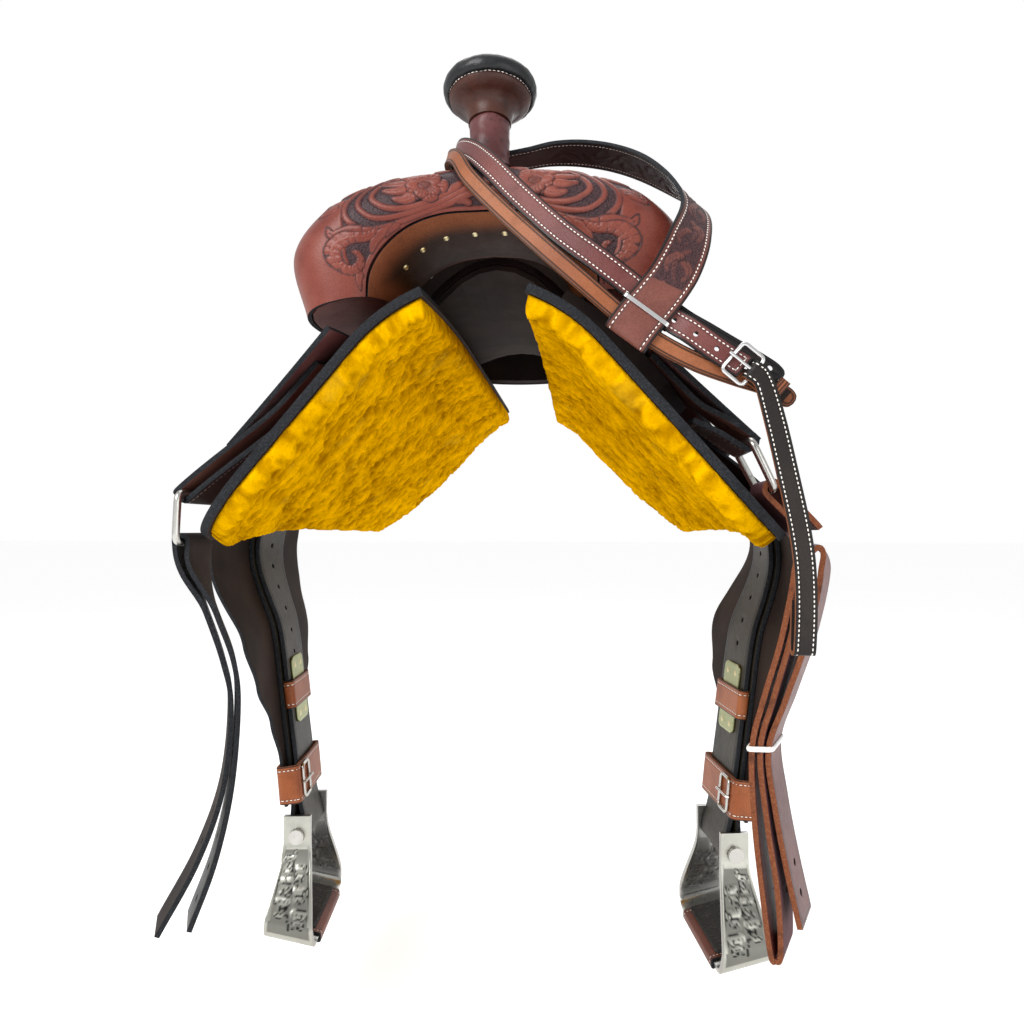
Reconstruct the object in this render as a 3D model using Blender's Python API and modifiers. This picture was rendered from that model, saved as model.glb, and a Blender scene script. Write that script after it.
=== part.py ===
"""Western pleasure saddle with its fenders, stirrups, rigging and the straps hung on its horn.

Metres, +Z up. +Y points to the cantle and +X to the near (left) side of the horse. The origin lies on
the centre plane, at the height of the skirts' top edges at mid length and above the girth line, where
the saddle rests on the horse: the horn stands above it and the stirrups hang below it.
"""

from math import atan2, cos, pi, radians, sin, sqrt

import bmesh
import bpy
from mathutils import Matrix, Vector

for obj in list(bpy.data.objects):
    bpy.data.objects.remove(obj)

SIDES = (("near", 1), ("off", -1))
SEAT_GAP = 0.0003  # between two pieces that rest on each other
DRAPE_GAP = 0.0006  # between two large sheets that lie on each other

# Horse's back under the skirts: s runs down its slope from the ridge, y along the horse
FRONT_Y = -0.300
REAR_Y = 0.330
MID_Y = -0.055
RIDGE_X = 0.040
RIDGE_SLOPE = radians(22)
SIDE_SLOPE = radians(45)
FRONT_STEEPER = radians(4)
REAR_STEEPER = radians(2)
RIDGE_ROUND = 0.070
FRONT_DROP = 0.015

# Skirts and fleece
SKIRT_LENGTH = 0.275
SKIRT_THICK = 0.007
FRONT_CORNER = 0.080
REAR_CORNER = 0.150
FLEECE_THICK = 0.019
FLEECE_INSET = 0.003

# Tree bars, each with a strip that its stirrup leather goes round
BAR_TOP_S = 0.020
BAR_LOW_S = 0.150
BAR_THICK = 0.0155
BAR_FRONT_Y = -0.250
BAR_REAR_Y = 0.270
STRIP_TOP = 0.008
STRIP_LOW = 0.034
SLOT_HALF_WIDTH = 0.085
SLOT_TOP = -0.026
STRAP_CHANNEL = 0.0066

# Swell, gullet and horn
SWELL_Y = -0.215
SWELL_HALF_DEPTH = 0.053
COVER_THICK = 0.0035
HORN_TILT = radians(-6)
HORN_BASE_Z = 0.0990
STEM_RADIUS = 0.012
NECK_RADIUS = 0.0170
CAP_RADIUS = 0.0400
CAP_LOW = 0.054
CAP_TOP = 0.090
BINDING_RADIUS = 0.0042
PLATE_RADIUS = 0.024
ROUND_STEPS = 20

# Leathers that carry the stirrups: each run's height over the skirt
LEATHER_WIDTH = 0.062
LEATHER_THICK = 0.004
INNER_RUN = 0.0070
OUTER_RUN = 0.0142
FENDER_RUN = 0.0190
FENDER_THICK = 0.0035
TURN = {"near": radians(9), "off": radians(-7)}
BOLT_Z = -0.505
SLEEVE_RADIUS = 0.0060
BOLT_RADIUS = 0.0040
BOLT_HEAD_RADIUS = 0.0075
BUCKLE_HIGH_Z = -0.328
BUCKLE_LOW_Z = -0.396
SLEEVE_HIGH_Z = -0.350
SLEEVE_LOW_Z = -0.378
HOBBLE_HIGH_Z = -0.432
HOBBLE_LOW_Z = -0.470
HOBBLE_THICK = 0.003
FENDER_NECK = 0.042

# Stirrups
NECK_WIDTH = 0.0666
TREAD_LENGTH = 0.134
STIRRUP_METAL = 0.005
STIRRUP_DROP = 0.093
EAR_RISE = 0.020
LEG_TOP_WIDTH = 0.027
TREAD_WIDTH = 0.048
TREAD_SLANT = 0.24
WRAP_THICK = 0.002
PAD_THICK = 0.003

# Rigging
RIG_Y = -0.240
RIG_WIDTH = 0.044
STRAP_THICK = 0.004
DEE_WIRE = 0.0030
DEE_WIDTH = 0.060
DEE_DEPTH = 0.040
LATIGO_WIDTH = 0.040
BILLET_WIDTH = 0.036

saddle = bpy.data.collections.new("western_pleasure_saddle")
cutters = bpy.data.collections.new("cutters")


def material(name, colour, roughness, metallic=0.0):
    mat = bpy.data.materials.new(name)
    mat.use_nodes = True
    shader = mat.node_tree.nodes["Principled BSDF"]
    shader.inputs["Base Color"].default_value = (*colour, 1.0)
    shader.inputs["Roughness"].default_value = roughness
    shader.inputs["Metallic"].default_value = metallic
    return mat


def place_in(collection, obj, origin=(0, 0, 0), mat=None):
    obj.location = origin
    if mat:
        obj.data.materials.append(mat)
    collection.objects.link(obj)
    return obj


def new_mesh(name, bm, collection=None, origin=(0, 0, 0), mat=None):
    data = bpy.data.meshes.new(name)
    bm.to_mesh(data)
    bm.free()
    return place_in(collection or saddle, bpy.data.objects.new(name, data), origin, mat)


def sheet(name, cols, rows, spot, thickness, mat, origin=(0, 0, 0), ring=False):
    """Leather sheet of even thickness whose middle surface is spot(u, v), for u and v from 0 to 1."""
    bm = bmesh.new()
    bmesh.ops.create_grid(bm, x_segments=cols, y_segments=rows, size=0.5)
    for vert in bm.verts:
        vert.co = spot(vert.co.x + 0.5, vert.co.y + 0.5) - Vector(origin)
    if ring:
        bmesh.ops.remove_doubles(bm, verts=bm.verts, dist=0.00005)
    obj = new_mesh(name, bm, origin=origin, mat=mat)
    shell = obj.modifiers.new("thickness", "SOLIDIFY")
    shell.thickness = thickness
    shell.offset = 0
    return obj


def lifted(spot, rise):
    """Surface that lies rise above spot(u, v), on the side of its u direction crossed with its v direction."""
    step = 0.004

    def high(u, v):
        along_u = spot(u + step, v) - spot(u - step, v)
        along_v = spot(u, v + step) - spot(u, v - step)
        return spot(u, v) + along_u.cross(along_v).normalized() * rise

    return high


def tube_solid(name, around, rows, spot, mat, origin=(0, 0, 0)):
    """Closed solid through rings of points: spot(u, v) goes round the ring with u, and along with v."""
    bm = bmesh.new()
    bmesh.ops.create_grid(bm, x_segments=around, y_segments=rows, size=0.5)
    for vert in bm.verts:
        vert.co = spot(vert.co.x + 0.5, vert.co.y + 0.5) - Vector(origin)
    bmesh.ops.remove_doubles(bm, verts=bm.verts, dist=0.00005)
    ends = [edge for edge in bm.edges if edge.is_boundary]
    bmesh.ops.holes_fill(bm, edges=ends, sides=around + 1)
    bmesh.ops.recalc_face_normals(bm, faces=bm.faces)
    return new_mesh(name, bm, origin=origin, mat=mat)


def turned(name, profile, mat, origin=(0, 0, 0), steps=ROUND_STEPS, collection=None):
    """Solid turned about its own Z from (radius, height) points that run down its outer side."""
    bm = bmesh.new()
    verts = [bm.verts.new((radius, 0, height)) for radius, height in profile]
    for first, second in zip(verts, verts[1:] + verts[:1]):
        if first.co.x > 1e-6 or second.co.x > 1e-6:
            bm.edges.new((first, second))
    obj = new_mesh(name, bm, collection, origin, mat)
    screw = obj.modifiers.new("turn", "SCREW")
    screw.steps = steps
    screw.render_steps = steps
    screw.use_merge_vertices = True
    screw.merge_threshold = 0.00001
    return obj


def wire(name, points, radius, mat, origin=(0, 0, 0), cyclic=False, collection=None):
    """Round bar through the points."""
    curve = bpy.data.curves.new(name, "CURVE")
    curve.dimensions = "3D"
    curve.bevel_depth = radius
    curve.bevel_resolution = 2
    curve.use_fill_caps = not cyclic
    spline = curve.splines.new("POLY")
    spline.points.add(len(points) - 1)
    for place, point in zip(spline.points, points):
        place.co = (*(Vector(point) - Vector(origin)), 1)
    spline.use_cyclic_u = cyclic
    return place_in(collection or saddle, bpy.data.objects.new(name, curve), origin, mat)


def block(name, size, centre, mat=None, turn=None, round_by=0.0, collection=None):
    """Box of the given size, turned by a matrix about its own centre, with its edges rounded."""
    bm = bmesh.new()
    bmesh.ops.create_cube(bm, size=1)
    bmesh.ops.scale(bm, vec=size, verts=bm.verts)
    if turn is not None:
        bmesh.ops.transform(bm, matrix=turn, verts=bm.verts)
    obj = new_mesh(name, bm, collection, centre, mat)
    if round_by:
        edge = obj.modifiers.new("round", "BEVEL")
        edge.width = round_by
        edge.segments = 1
    return obj


def as_mesh(curve_object):
    """The curve object turned into a mesh object with its caps welded on."""
    graph = bpy.context.evaluated_depsgraph_get()
    data = bpy.data.meshes.new_from_object(curve_object.evaluated_get(graph))
    bm = bmesh.new()
    bm.from_mesh(data)
    bmesh.ops.remove_doubles(bm, verts=bm.verts, dist=0.00001)
    bm.to_mesh(data)
    bm.free()
    name = curve_object.name
    matrix = curve_object.matrix_world.copy()
    home = curve_object.users_collection[0]
    bpy.data.objects.remove(curve_object)
    obj = bpy.data.objects.new(name, data)
    obj.matrix_world = matrix
    home.objects.link(obj)
    return obj


def cut(obj, cutter):
    cutter.hide_render = True
    cutter.display_type = "WIRE"
    knife = obj.modifiers.new("cut_" + cutter.name, "BOOLEAN")
    knife.operation = "DIFFERENCE"
    knife.object = cutter


def mix(a, b, t):
    return a + (b - a) * t


def ramp(t, low, high):
    """Smooth step from 0 at low to 1 at high."""
    x = min(1.0, max(0.0, (t - low) / (high - low)))
    return x * x * (3 - 2 * x)


def table(value, rows):
    """Value read from (key, value) rows with a smooth step between them."""
    for (k0, v0), (k1, v1) in zip(rows, rows[1:]):
        if value <= k1:
            return mix(v0, v1, ramp(value, k0, k1))
    return rows[-1][1]


def spline_at(points, t):
    """Point at t from 0 to 1 on the smooth curve through evenly counted points."""
    place = min(max(t, 0.0), 1.0) * (len(points) - 1)
    i = min(int(place), len(points) - 2)
    x = place - i
    p1 = points[i]
    p2 = points[i + 1]
    p0 = points[i - 1] if i else p1 * 2 - p2
    p3 = points[i + 2] if i + 2 < len(points) else p2 * 2 - p1
    lead = p2 - p0
    trail = p3 - p1
    return (
        p1 * (1 - 3 * x * x + 2 * x ** 3)
        + p2 * (3 * x * x - 2 * x ** 3)
        + lead * (0.5 * (x - 2 * x * x + x ** 3))
        + trail * (0.5 * (x ** 3 - x * x))
    )


def drape(s, y, rise=0.0, side=1):
    """Point that lies rise above the skirts' outer face, s down from the ridge."""
    if y < MID_Y:
        ahead = ((MID_Y - y) / (MID_Y - FRONT_Y)) ** 2
        low_slope = SIDE_SLOPE + FRONT_STEEPER * ahead
        ridge_z = -FRONT_DROP * ahead
    else:
        behind = (y - MID_Y) / (REAR_Y - MID_Y)
        low_slope = SIDE_SLOPE + REAR_STEEPER * behind ** 2
        ridge_z = 0.0
    bend = (low_slope - RIDGE_SLOPE) / RIDGE_ROUND
    slope = min(low_slope, RIDGE_SLOPE + bend * s)
    straight = max(0.0, s - RIDGE_ROUND)
    x = RIDGE_X + (sin(slope) - sin(RIDGE_SLOPE)) / bend + straight * cos(low_slope) + rise * sin(slope)
    z = ridge_z + (cos(slope) - cos(RIDGE_SLOPE)) / bend - straight * sin(low_slope) + rise * cos(slope)
    return Vector((side * x, y, z))


def drape_sheet(name, side, top, low, front, rear, rise, thickness, mat, cols=8, rows=8):
    """Sheet over the skirts between front(s) and rear(s), at rise(s), from s = top to low."""

    def spot(u, v):
        s = mix(top, low, v)
        return drape(s, mix(front(s), rear(s), u), rise(s), side)

    return sheet(name, cols, rows, spot, thickness, mat)


def rounded_end(edge, low, corner, inwards):
    """Edge line that stays at edge and then curves inwards over the last stretch before low."""

    def line(s):
        x = max(0.0, (s - (low - corner)) / corner)
        return edge + inwards * corner * (1 - sqrt(max(0.0, 1 - x * x * 0.995)))

    return line


def strap(name, points, across, width, thickness, mat, steps, origin=(0, 0, 0), ring=False):
    """Flat strap through the points, with across(t) its width direction at t from 0 to 1."""

    def spot(u, v):
        return spline_at(points, u) + across(u) * (width * (v - 0.5))

    return sheet(name, steps, 1, spot, thickness, mat, origin, ring)


# Materials
burgundy = material("burgundy_leather", (0.25, 0.07, 0.05), 0.45)
lip_brown = material("gullet_leather", (0.17, 0.05, 0.02), 0.45)
black_leather = material("black_leather", (0.02, 0.02, 0.02), 0.5)
tan_leather = material("tan_leather", (0.42, 0.14, 0.05), 0.5)
dark_leather = material("dark_fender_leather", (0.03, 0.02, 0.015), 0.5)
oxblood = material("oxblood_latigo", (0.16, 0.04, 0.04), 0.55)
fleece_yellow = material("mustard_fleece", (0.75, 0.45, 0.0), 0.95)
tree_cover = material("tree_wood", (0.45, 0.33, 0.2), 0.7)
steel = material("nickel_steel", (0.7, 0.7, 0.68), 0.25, 1.0)
brass = material("brass_plate", (0.5, 0.5, 0.3), 0.35, 1.0)
aluminium = material("aluminium", (0.75, 0.75, 0.72), 0.3, 1.0)
rubber = material("black_rubber", (0.02, 0.02, 0.02), 0.8)


# Skirts, with the fleece that lines them
def straight_line(value):
    return lambda s: value


def skirts():
    low = SKIRT_LENGTH
    for name, side in SIDES:
        drape_sheet(
            "skirt_" + name, side, 0.0, low,
            rounded_end(FRONT_Y, low, FRONT_CORNER, 1),
            rounded_end(REAR_Y, low, REAR_CORNER, -1),
            straight_line(-SKIRT_THICK / 2), SKIRT_THICK, burgundy, 18, 10,
        )
        fleece_low = low - FLEECE_INSET
        drape_sheet(
            "fleece_" + name, side, FLEECE_INSET, fleece_low,
            rounded_end(FRONT_Y + FLEECE_INSET, fleece_low, FRONT_CORNER, 1),
            rounded_end(REAR_Y - FLEECE_INSET, fleece_low, REAR_CORNER, -1),
            straight_line(-SKIRT_THICK - DRAPE_GAP - FLEECE_THICK / 2), FLEECE_THICK, fleece_yellow, 18, 10,
        )


# Tree: two bars, the fork, the cantle board
def slope_frame(along, rise, y, side):
    """Point and turn of the flat slope at mid length: along it from where the ridge round ends."""
    point = drape(RIDGE_ROUND + along, MID_Y, rise, side)
    point.y = y
    turn = Matrix.Rotation(side * SIDE_SLOPE, 4, "Y")
    return point, turn


def tree_bars():
    for name, side in SIDES:
        bar = drape_sheet(
            "tree_bar_" + name, side, BAR_TOP_S, BAR_LOW_S,
            rounded_end(BAR_FRONT_Y, BAR_LOW_S, 0.05, 1),
            rounded_end(BAR_REAR_Y, BAR_LOW_S, 0.05, -1),
            straight_line(DRAPE_GAP + BAR_THICK / 2), BAR_THICK, tree_cover, 16, 5,
        )
        cuts = (
            ("low_notch", STRIP_LOW, STRIP_LOW + 0.09, -0.01, 0.04),
            ("top_slot", SLOT_TOP, STRIP_TOP, -0.01, 0.04),
            ("channel", SLOT_TOP + 0.001, STRIP_LOW + 0.01, -0.01, STRAP_CHANNEL),
        )
        for cut_name, start, end, low, high in cuts:
            centre, turn = slope_frame((start + end) / 2, (low + high) / 2, MID_Y, side)
            size = (end - start, 2 * SLOT_HALF_WIDTH, high - low)
            cut(bar, block(f"{cut_name}_{name}", size, centre, None, turn, collection=cutters))


# Gullet and outer outline of the swell, from the centre to the foot
GULLET = [Vector(p) for p in (
    (0, 0.045), (0.026, 0.043), (0.047, 0.034), (0.062, 0.019), (0.070, 0.005), (0.0768, -0.0064),
)]
OUTLINE = [Vector(p) for p in (
    (0, 0.100), (0.047, 0.096), (0.092, 0.088), (0.134, 0.069), (0.162, 0.032), (0.150, -0.020),
)]
LIP_ANGLE = radians(120)


def swell_point(across, angle):
    """Point of the swell's outer surface at across from -1 to 1, angle 0 on top, pi in the gullet."""
    side = -1 if across < 0 else 1
    inner = spline_at(GULLET, abs(across))
    outer = spline_at(OUTLINE, abs(across))
    reach = (outer - inner) / 2
    depth = SWELL_HALF_DEPTH + 0.006 * sin(pi * abs(across))
    up = abs(cos(angle)) ** 0.8 * (1 if cos(angle) > 0 else -1)
    ahead = abs(sin(angle)) ** 0.9 * (1 if sin(angle) > 0 else -1)
    flat = (inner + outer) / 2 + reach * up
    return Vector((side * flat.x, SWELL_Y - depth * ahead, flat.y))


def swell():
    half = COVER_THICK / 2
    fork_depth = COVER_THICK + DRAPE_GAP

    def swell_sheet(start, end):
        return lambda u, v: swell_point(mix(-1, 1, v), mix(start, end, u))

    tube_solid("tree_fork", 18, 24, lifted(swell_sheet(0, 2 * pi), -fork_depth), tree_cover)
    cover = sheet("swell_cover", 12, 24, lifted(swell_sheet(-LIP_ANGLE, LIP_ANGLE), -half), COVER_THICK, burgundy)
    gap = radians(3)
    sheet(
        "gullet_cover", 6, 24,
        lifted(swell_sheet(LIP_ANGLE + gap, 2 * pi - LIP_ANGLE - gap), -half), COVER_THICK, lip_brown,
    )
    across = 2 * STEM_RADIUS + 0.003
    top = spline_at(OUTLINE, 0).y
    cut(cover, block("horn_bore", (across, across, 0.04), (0, SWELL_Y, top), collection=cutters))
    seat_low = HORN_BASE_Z - 0.006
    seat = block("horn_seat", (0.034, 0.034, 0.04), (0, SWELL_Y, seat_low + 0.02), collection=cutters)
    cut(bpy.data.objects["tree_fork"], seat)


def horn():
    base = bpy.data.objects.new("horn_base", None)
    base.location = (0, SWELL_Y, HORN_BASE_Z)
    base.rotation_euler.x = HORN_TILT
    saddle.objects.link(base)
    plate_low = CAP_TOP - 0.014
    plate_top = CAP_TOP - 0.008
    inner = CAP_RADIUS - 2 * BINDING_RADIUS
    clear = 0.0004
    core = turned("horn_core", (
        (0, plate_top), (PLATE_RADIUS, plate_top), (PLATE_RADIUS, plate_low),
        (STEM_RADIUS, plate_low - 0.008),
        (STEM_RADIUS, -0.004), (0, -0.004),
    ), steel)
    neck_top = CAP_LOW - SEAT_GAP
    wrap = turned("horn_neck_wrap", (
        (STEM_RADIUS + clear, neck_top), (NECK_RADIUS, neck_top), (NECK_RADIUS, 0.018), (0.0205, 0.009),
        (0.027, 0.0035), (STEM_RADIUS + clear, 0.0035),
    ), lip_brown)
    cap = turned("horn_cap_leather", (
        (0, CAP_TOP + 0.002), (0.6 * inner, CAP_TOP + 0.001), (inner - clear, CAP_TOP - 0.001),
        (inner - clear, CAP_TOP - 0.011), (inner - 0.003, CAP_TOP - 0.014), (NECK_RADIUS + 0.001, CAP_LOW),
        (STEM_RADIUS + clear, CAP_LOW), (STEM_RADIUS + clear, plate_low - 0.008 - clear),
        (PLATE_RADIUS + clear, plate_low - 2 * clear), (PLATE_RADIUS + clear, plate_top + clear),
        (0, plate_top + clear),
    ), burgundy)
    ring = turned("horn_cap_binding", tuple(
        (CAP_RADIUS - BINDING_RADIUS + BINDING_RADIUS * cos(a),
        CAP_TOP - 0.006 + 1.5 * BINDING_RADIUS * sin(a))
        for a in (pi / 2 - 2 * pi * k / 8 for k in range(8))
    ), black_leather)
    for obj in (core, wrap, cap, ring):
        obj.parent = base


# Seat: ground seat on the bars, padded seat leather, cantle board and roll
SEAT_LINE = [Vector(p) for p in (
    (-0.158, 0.046), (-0.110, 0.036), (-0.060, 0.028), (0.000, 0.024), (0.060, 0.027),
    (0.120, 0.036), (0.200, 0.052),
)]
GROUND_THICK = 0.005
SEAT_THICK = 0.013
SEAT_FRONT_Y = -0.158
SEAT_EDGE_X = 0.098
SEAT_BRIDGE_X = 0.060
CANTLE_HALF_WIDTH = 0.119
CANTLE_CENTRE_Y = 0.085
CANTLE_DEPTH = 0.112
CANTLE_TOP_Z = 0.122
CANTLE_THICK = 0.012
CANTLE_LEAN = 0.16
CANTLE_SPREAD = radians(64)
ROLL_RADIUS = 0.011


def bar_top_z(x, y):
    """Height of the top of the tree bars at x."""
    low = 0.0
    high = 0.25
    for _ in range(20):
        middle = (low + high) / 2
        if drape(middle, y, BAR_THICK + 2 * DRAPE_GAP).x < x:
            low = middle
        else:
            high = middle
    return drape(low, y, BAR_THICK + 2 * DRAPE_GAP).z


def cantle_top(x):
    """Height of the cantle board's top edge at x."""
    return CANTLE_TOP_Z * (1 - 0.92 * (abs(x) / CANTLE_HALF_WIDTH) ** 2.4)


def cantle_face_y(x):
    """Where the front face of the cantle board stands, at x."""
    return CANTLE_CENTRE_Y + CANTLE_DEPTH * sqrt(1 - min(1.0, abs(x) / CANTLE_HALF_WIDTH) ** 2)


def seat_point(across, along):
    """Underside of the ground seat: it bridges the two bars and rises to the cantle at the back."""
    x = SEAT_EDGE_X * abs(across)
    lean = CANTLE_LEAN * cantle_top(x)
    y = mix(SEAT_FRONT_Y, cantle_face_y(x) + lean - 0.0065, along)
    middle = spline_at(SEAT_LINE, ramp_place(y)).y
    if x > SEAT_BRIDGE_X:
        z = bar_top_z(x, y)
    else:
        z = mix(middle, bar_top_z(SEAT_BRIDGE_X, y), (x / SEAT_BRIDGE_X) ** 2)
    rise = max(0.0, (along - 0.66) / 0.34) ** 2
    z += rise * max(0.0, cantle_top(x) - 0.010 - z)
    return Vector((x if across > 0 else -x, y, z))


def ramp_place(y):
    """Place of y along the seat line, from 0 to 1."""
    return (y - SEAT_LINE[0].x) / (SEAT_LINE[-1].x - SEAT_LINE[0].x)


def cantle_point(across, up, rearwards):
    """Point of the cantle board, from the bars (up = 0) to its top edge (up = 1)."""
    angle = across * CANTLE_SPREAD
    x = CANTLE_HALF_WIDTH * sin(angle)
    y = CANTLE_CENTRE_Y + CANTLE_DEPTH * cos(angle)
    low = bar_top_z(max(abs(x), SEAT_BRIDGE_X), y) + 0.0069
    height = mix(low, cantle_top(x), up)
    back = rearwards + CANTLE_LEAN * height
    return Vector((x + back * sin(angle), y + back * cos(angle), height))


def seat():
    def seat_sheet(u, v):
        return seat_point(mix(-1, 1, u), v)

    ground_rise = GROUND_THICK / 2
    seat_rise = GROUND_THICK + DRAPE_GAP + SEAT_THICK / 2
    sheet("ground_seat", 12, 14, lifted(seat_sheet, ground_rise), GROUND_THICK, black_leather)
    sheet("seat_leather", 12, 14, lifted(seat_sheet, seat_rise), SEAT_THICK, burgundy)
    board_rear = CANTLE_THICK / 2 + DRAPE_GAP
    sheet("tree_cantle", 16, 4, lambda u, v: cantle_point(mix(-1, 1, u), v, board_rear), CANTLE_THICK, tree_cover)
    roll = []
    for k in range(17):
        across = mix(-1, 1, k / 16)
        here = cantle_point(across, 1.0, board_rear)
        run = cantle_point(across + 0.02, 1.0, board_rear) - cantle_point(across - 0.02, 1.0, board_rear)
        rise = here - cantle_point(across, 0.9, board_rear)
        run.normalize()
        rise -= run * rise.dot(run)
        roll.append(here + rise.normalized() * (ROLL_RADIUS + 1.2 * DRAPE_GAP))
    wire("cantle_roll", roll, ROLL_RADIUS, burgundy)


JOCKEY_THICK = 0.004
CONCHO_S = 0.098
CONCHO_Y = -0.243


def front_jockey_rise(s):
    return 0.0236 + 0.107 * (s - 0.10)


def jockeys():
    for name, side in SIDES:
        drape_sheet(
            "front_jockey_" + name, side, 0.070, 0.205,
            lambda s: -0.288 + 0.35 * (s - 0.075), rounded_end(-0.1546, 0.205, 0.05, -1),
            front_jockey_rise, JOCKEY_THICK, burgundy, 6, 7,
        )
        drape_sheet(
            "seat_jockey_" + name, side, 0.064, 0.215,
            rounded_end(-0.154, 0.215, 0.07, 1), rounded_end(0.132, 0.215, 0.07, -1),
            straight_line(0.0275), JOCKEY_THICK, burgundy, 10, 7,
        )
        drape_sheet(
            "rear_jockey_" + name, side, 0.012, 0.175,
            rounded_end(0.138, 0.175, 0.05, 1), rounded_end(0.318, 0.175, 0.05, -1),
            straight_line(0.0190), JOCKEY_THICK, burgundy, 6, 7,
        )

        def jockey_face(u, v):
            s = CONCHO_S + u
            return drape(s, CONCHO_Y + v, front_jockey_rise(s), side)

        step = 0.01
        down = jockey_face(step, 0) - jockey_face(-step, 0)
        back = jockey_face(0, step) - jockey_face(0, -step)
        out = down.cross(back).normalized() * side
        seat = jockey_face(0, 0) + out * (JOCKEY_THICK / 2 + DRAPE_GAP)
        concho = turned("concho_" + name, (
            (0, 0.0045), (0.010, 0.0038), (0.017, 0.0018), (0.019, 0.0), (0, 0.0),
        ), steel, seat)
        concho.rotation_euler = out.to_track_quat("Z", "Y").to_euler()


# Stirrup leather and fender lie in one plane over the skirt and drop past its edge, as (x, z) points
DROP = ((0.2597, -0.2060), (0.2590, -0.2320), (0.2508, -0.2600), (0.2412, -0.2860), (0.2362, -0.3100),
        (0.2320, -0.3420), (0.2280, -0.3740), (0.2240, -0.4060), (0.2198, -0.4380), (0.2165, -0.4700),
        (0.2150, -0.4850))
SLOPE_STEPS = (0.0, 0.05, 0.10, 0.15, 0.19, 0.211)
PIVOT_ALONG = (STRIP_TOP + STRIP_LOW) / 2
TWIST_HIGH = -0.20
TWIST_LOW = -0.30
FENDER_HIGH_Z = -0.107
# Heights of the inner run at which leather and fender have their rows
RUN_Z = (
    FENDER_HIGH_Z, -0.125, -0.145, -0.165, -0.185, -0.200, -0.215, -0.232, -0.250, -0.270, -0.290, -0.315,
    -0.345, -0.375, -0.400, -0.424, -0.450, HOBBLE_LOW_Z - 0.004,
)


def on_slope(along, rise):
    """Point (x, z) at rise over the skirt's outer face at mid length."""
    point = drape(RIDGE_ROUND + along, MID_Y, rise)
    return Vector((point.x, point.z))


HANG_LINE = [on_slope(along, INNER_RUN) for along in SLOPE_STEPS] + [Vector(p) for p in DROP]


def hang_at(t):
    """Point of the inner run and its outward normal, in the (x, z) plane."""
    here = spline_at(HANG_LINE, t)
    run = (spline_at(HANG_LINE, t + 0.003) - spline_at(HANG_LINE, t - 0.003)).normalized()
    return here, Vector((-run.y, run.x))


def t_at(z):
    low = 0.0
    high = 1.0
    for _ in range(24):
        middle = (low + high) / 2
        if spline_at(HANG_LINE, middle).y > z:
            low = middle
        else:
            high = middle
    return (low + high) / 2


def twisted(flat, w, name, side):
    """Point w behind the leathers' centre line, turned with the leather about the inner run."""
    turn = TURN[name] * ramp(flat.y, TWIST_HIGH, TWIST_LOW)
    axis_x = spline_at(HANG_LINE, t_at(flat.y)).x if turn else flat.x
    out = flat.x - axis_x
    x = axis_x + out * cos(turn) - w * sin(turn)
    return Vector((side * x, MID_Y + out * sin(turn) + w * cos(turn), flat.y))


def on_hang(z, w, rise, name, side):
    """Point over the inner run at a height z of that run."""
    here, out = hang_at(t_at(z))
    return twisted(here + out * rise, w, name, side)


def leather_loop():
    """Flat (x, z) points of the stirrup leather, closed round the bar's strip and the bolt's sleeve."""
    half = LEATHER_THICK / 2
    under = STRAP_CHANNEL - SEAT_GAP - half
    over = BAR_THICK + DRAPE_GAP + 2 * SEAT_GAP + half
    reach = 0.026 + half
    top = PIVOT_ALONG - reach
    low = PIVOT_ALONG + reach
    fold = [(top + 0.003, under + 0.0006), (top, (under + over) / 2 - 0.003), (top, (under + over) / 2 + 0.003),
            (top + 0.003, over - 0.0006)]
    outer_high = [(PIVOT_ALONG - 0.012, over), (PIVOT_ALONG + 0.012, over), (low, over - 0.0008),
                  (0.066, 0.0156), (0.085, OUTER_RUN)]
    inner_high = [(0.085, INNER_RUN), (0.066, 0.0062), (low - 0.002, under + 0.0002), (PIVOT_ALONG + 0.012, under),
                  (PIVOT_ALONG - 0.012, under)]
    points = [on_slope(*p) for p in fold + outer_high]
    gap = OUTER_RUN - INNER_RUN
    for z in RUN_Z:
        here, out = hang_at(t_at(z))
        points.append(here + out * gap)
    centre = bolt_centre()
    round_sleeve = SLEEVE_RADIUS + 0.0004 + half
    for angle in (10, -25, -60, -90, -120, -155, -190):
        points.append(centre + Vector((cos(radians(angle)), sin(radians(angle)))) * round_sleeve)
    for z in reversed(RUN_Z):
        points.append(hang_at(t_at(z))[0])
    points += [on_slope(*p) for p in inner_high]
    return points + points[:1]


def bolt_centre():
    """Bolt's centre (x, z), midway between the two runs."""
    here, _ = hang_at(t_at(HOBBLE_LOW_Z))
    return Vector((here.x + (OUTER_RUN - INNER_RUN) / 2 - 0.0030, BOLT_Z))


def pivot(side):
    """Middle of the bar's strip, which the stirrup leather turns about."""
    return drape(RIDGE_ROUND + PIVOT_ALONG, MID_Y, (INNER_RUN + OUTER_RUN) / 2, side)


# Half widths of a fender in front of and behind its centre line, at each height
FENDER_FRONT = ((-0.474, 0.040), (-0.425, 0.042), (-0.385, 0.058), (-0.345, 0.086), (-0.300, 0.108),
                (-0.250, 0.115), (-0.205, 0.106), (-0.160, 0.086), (-0.107, 0.055))
FENDER_REAR = ((-0.474, 0.040), (-0.425, 0.042), (-0.385, 0.064), (-0.345, 0.100), (-0.300, 0.117),
               (-0.250, 0.114), (-0.205, 0.102), (-0.160, 0.084), (-0.107, 0.055))


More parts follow.
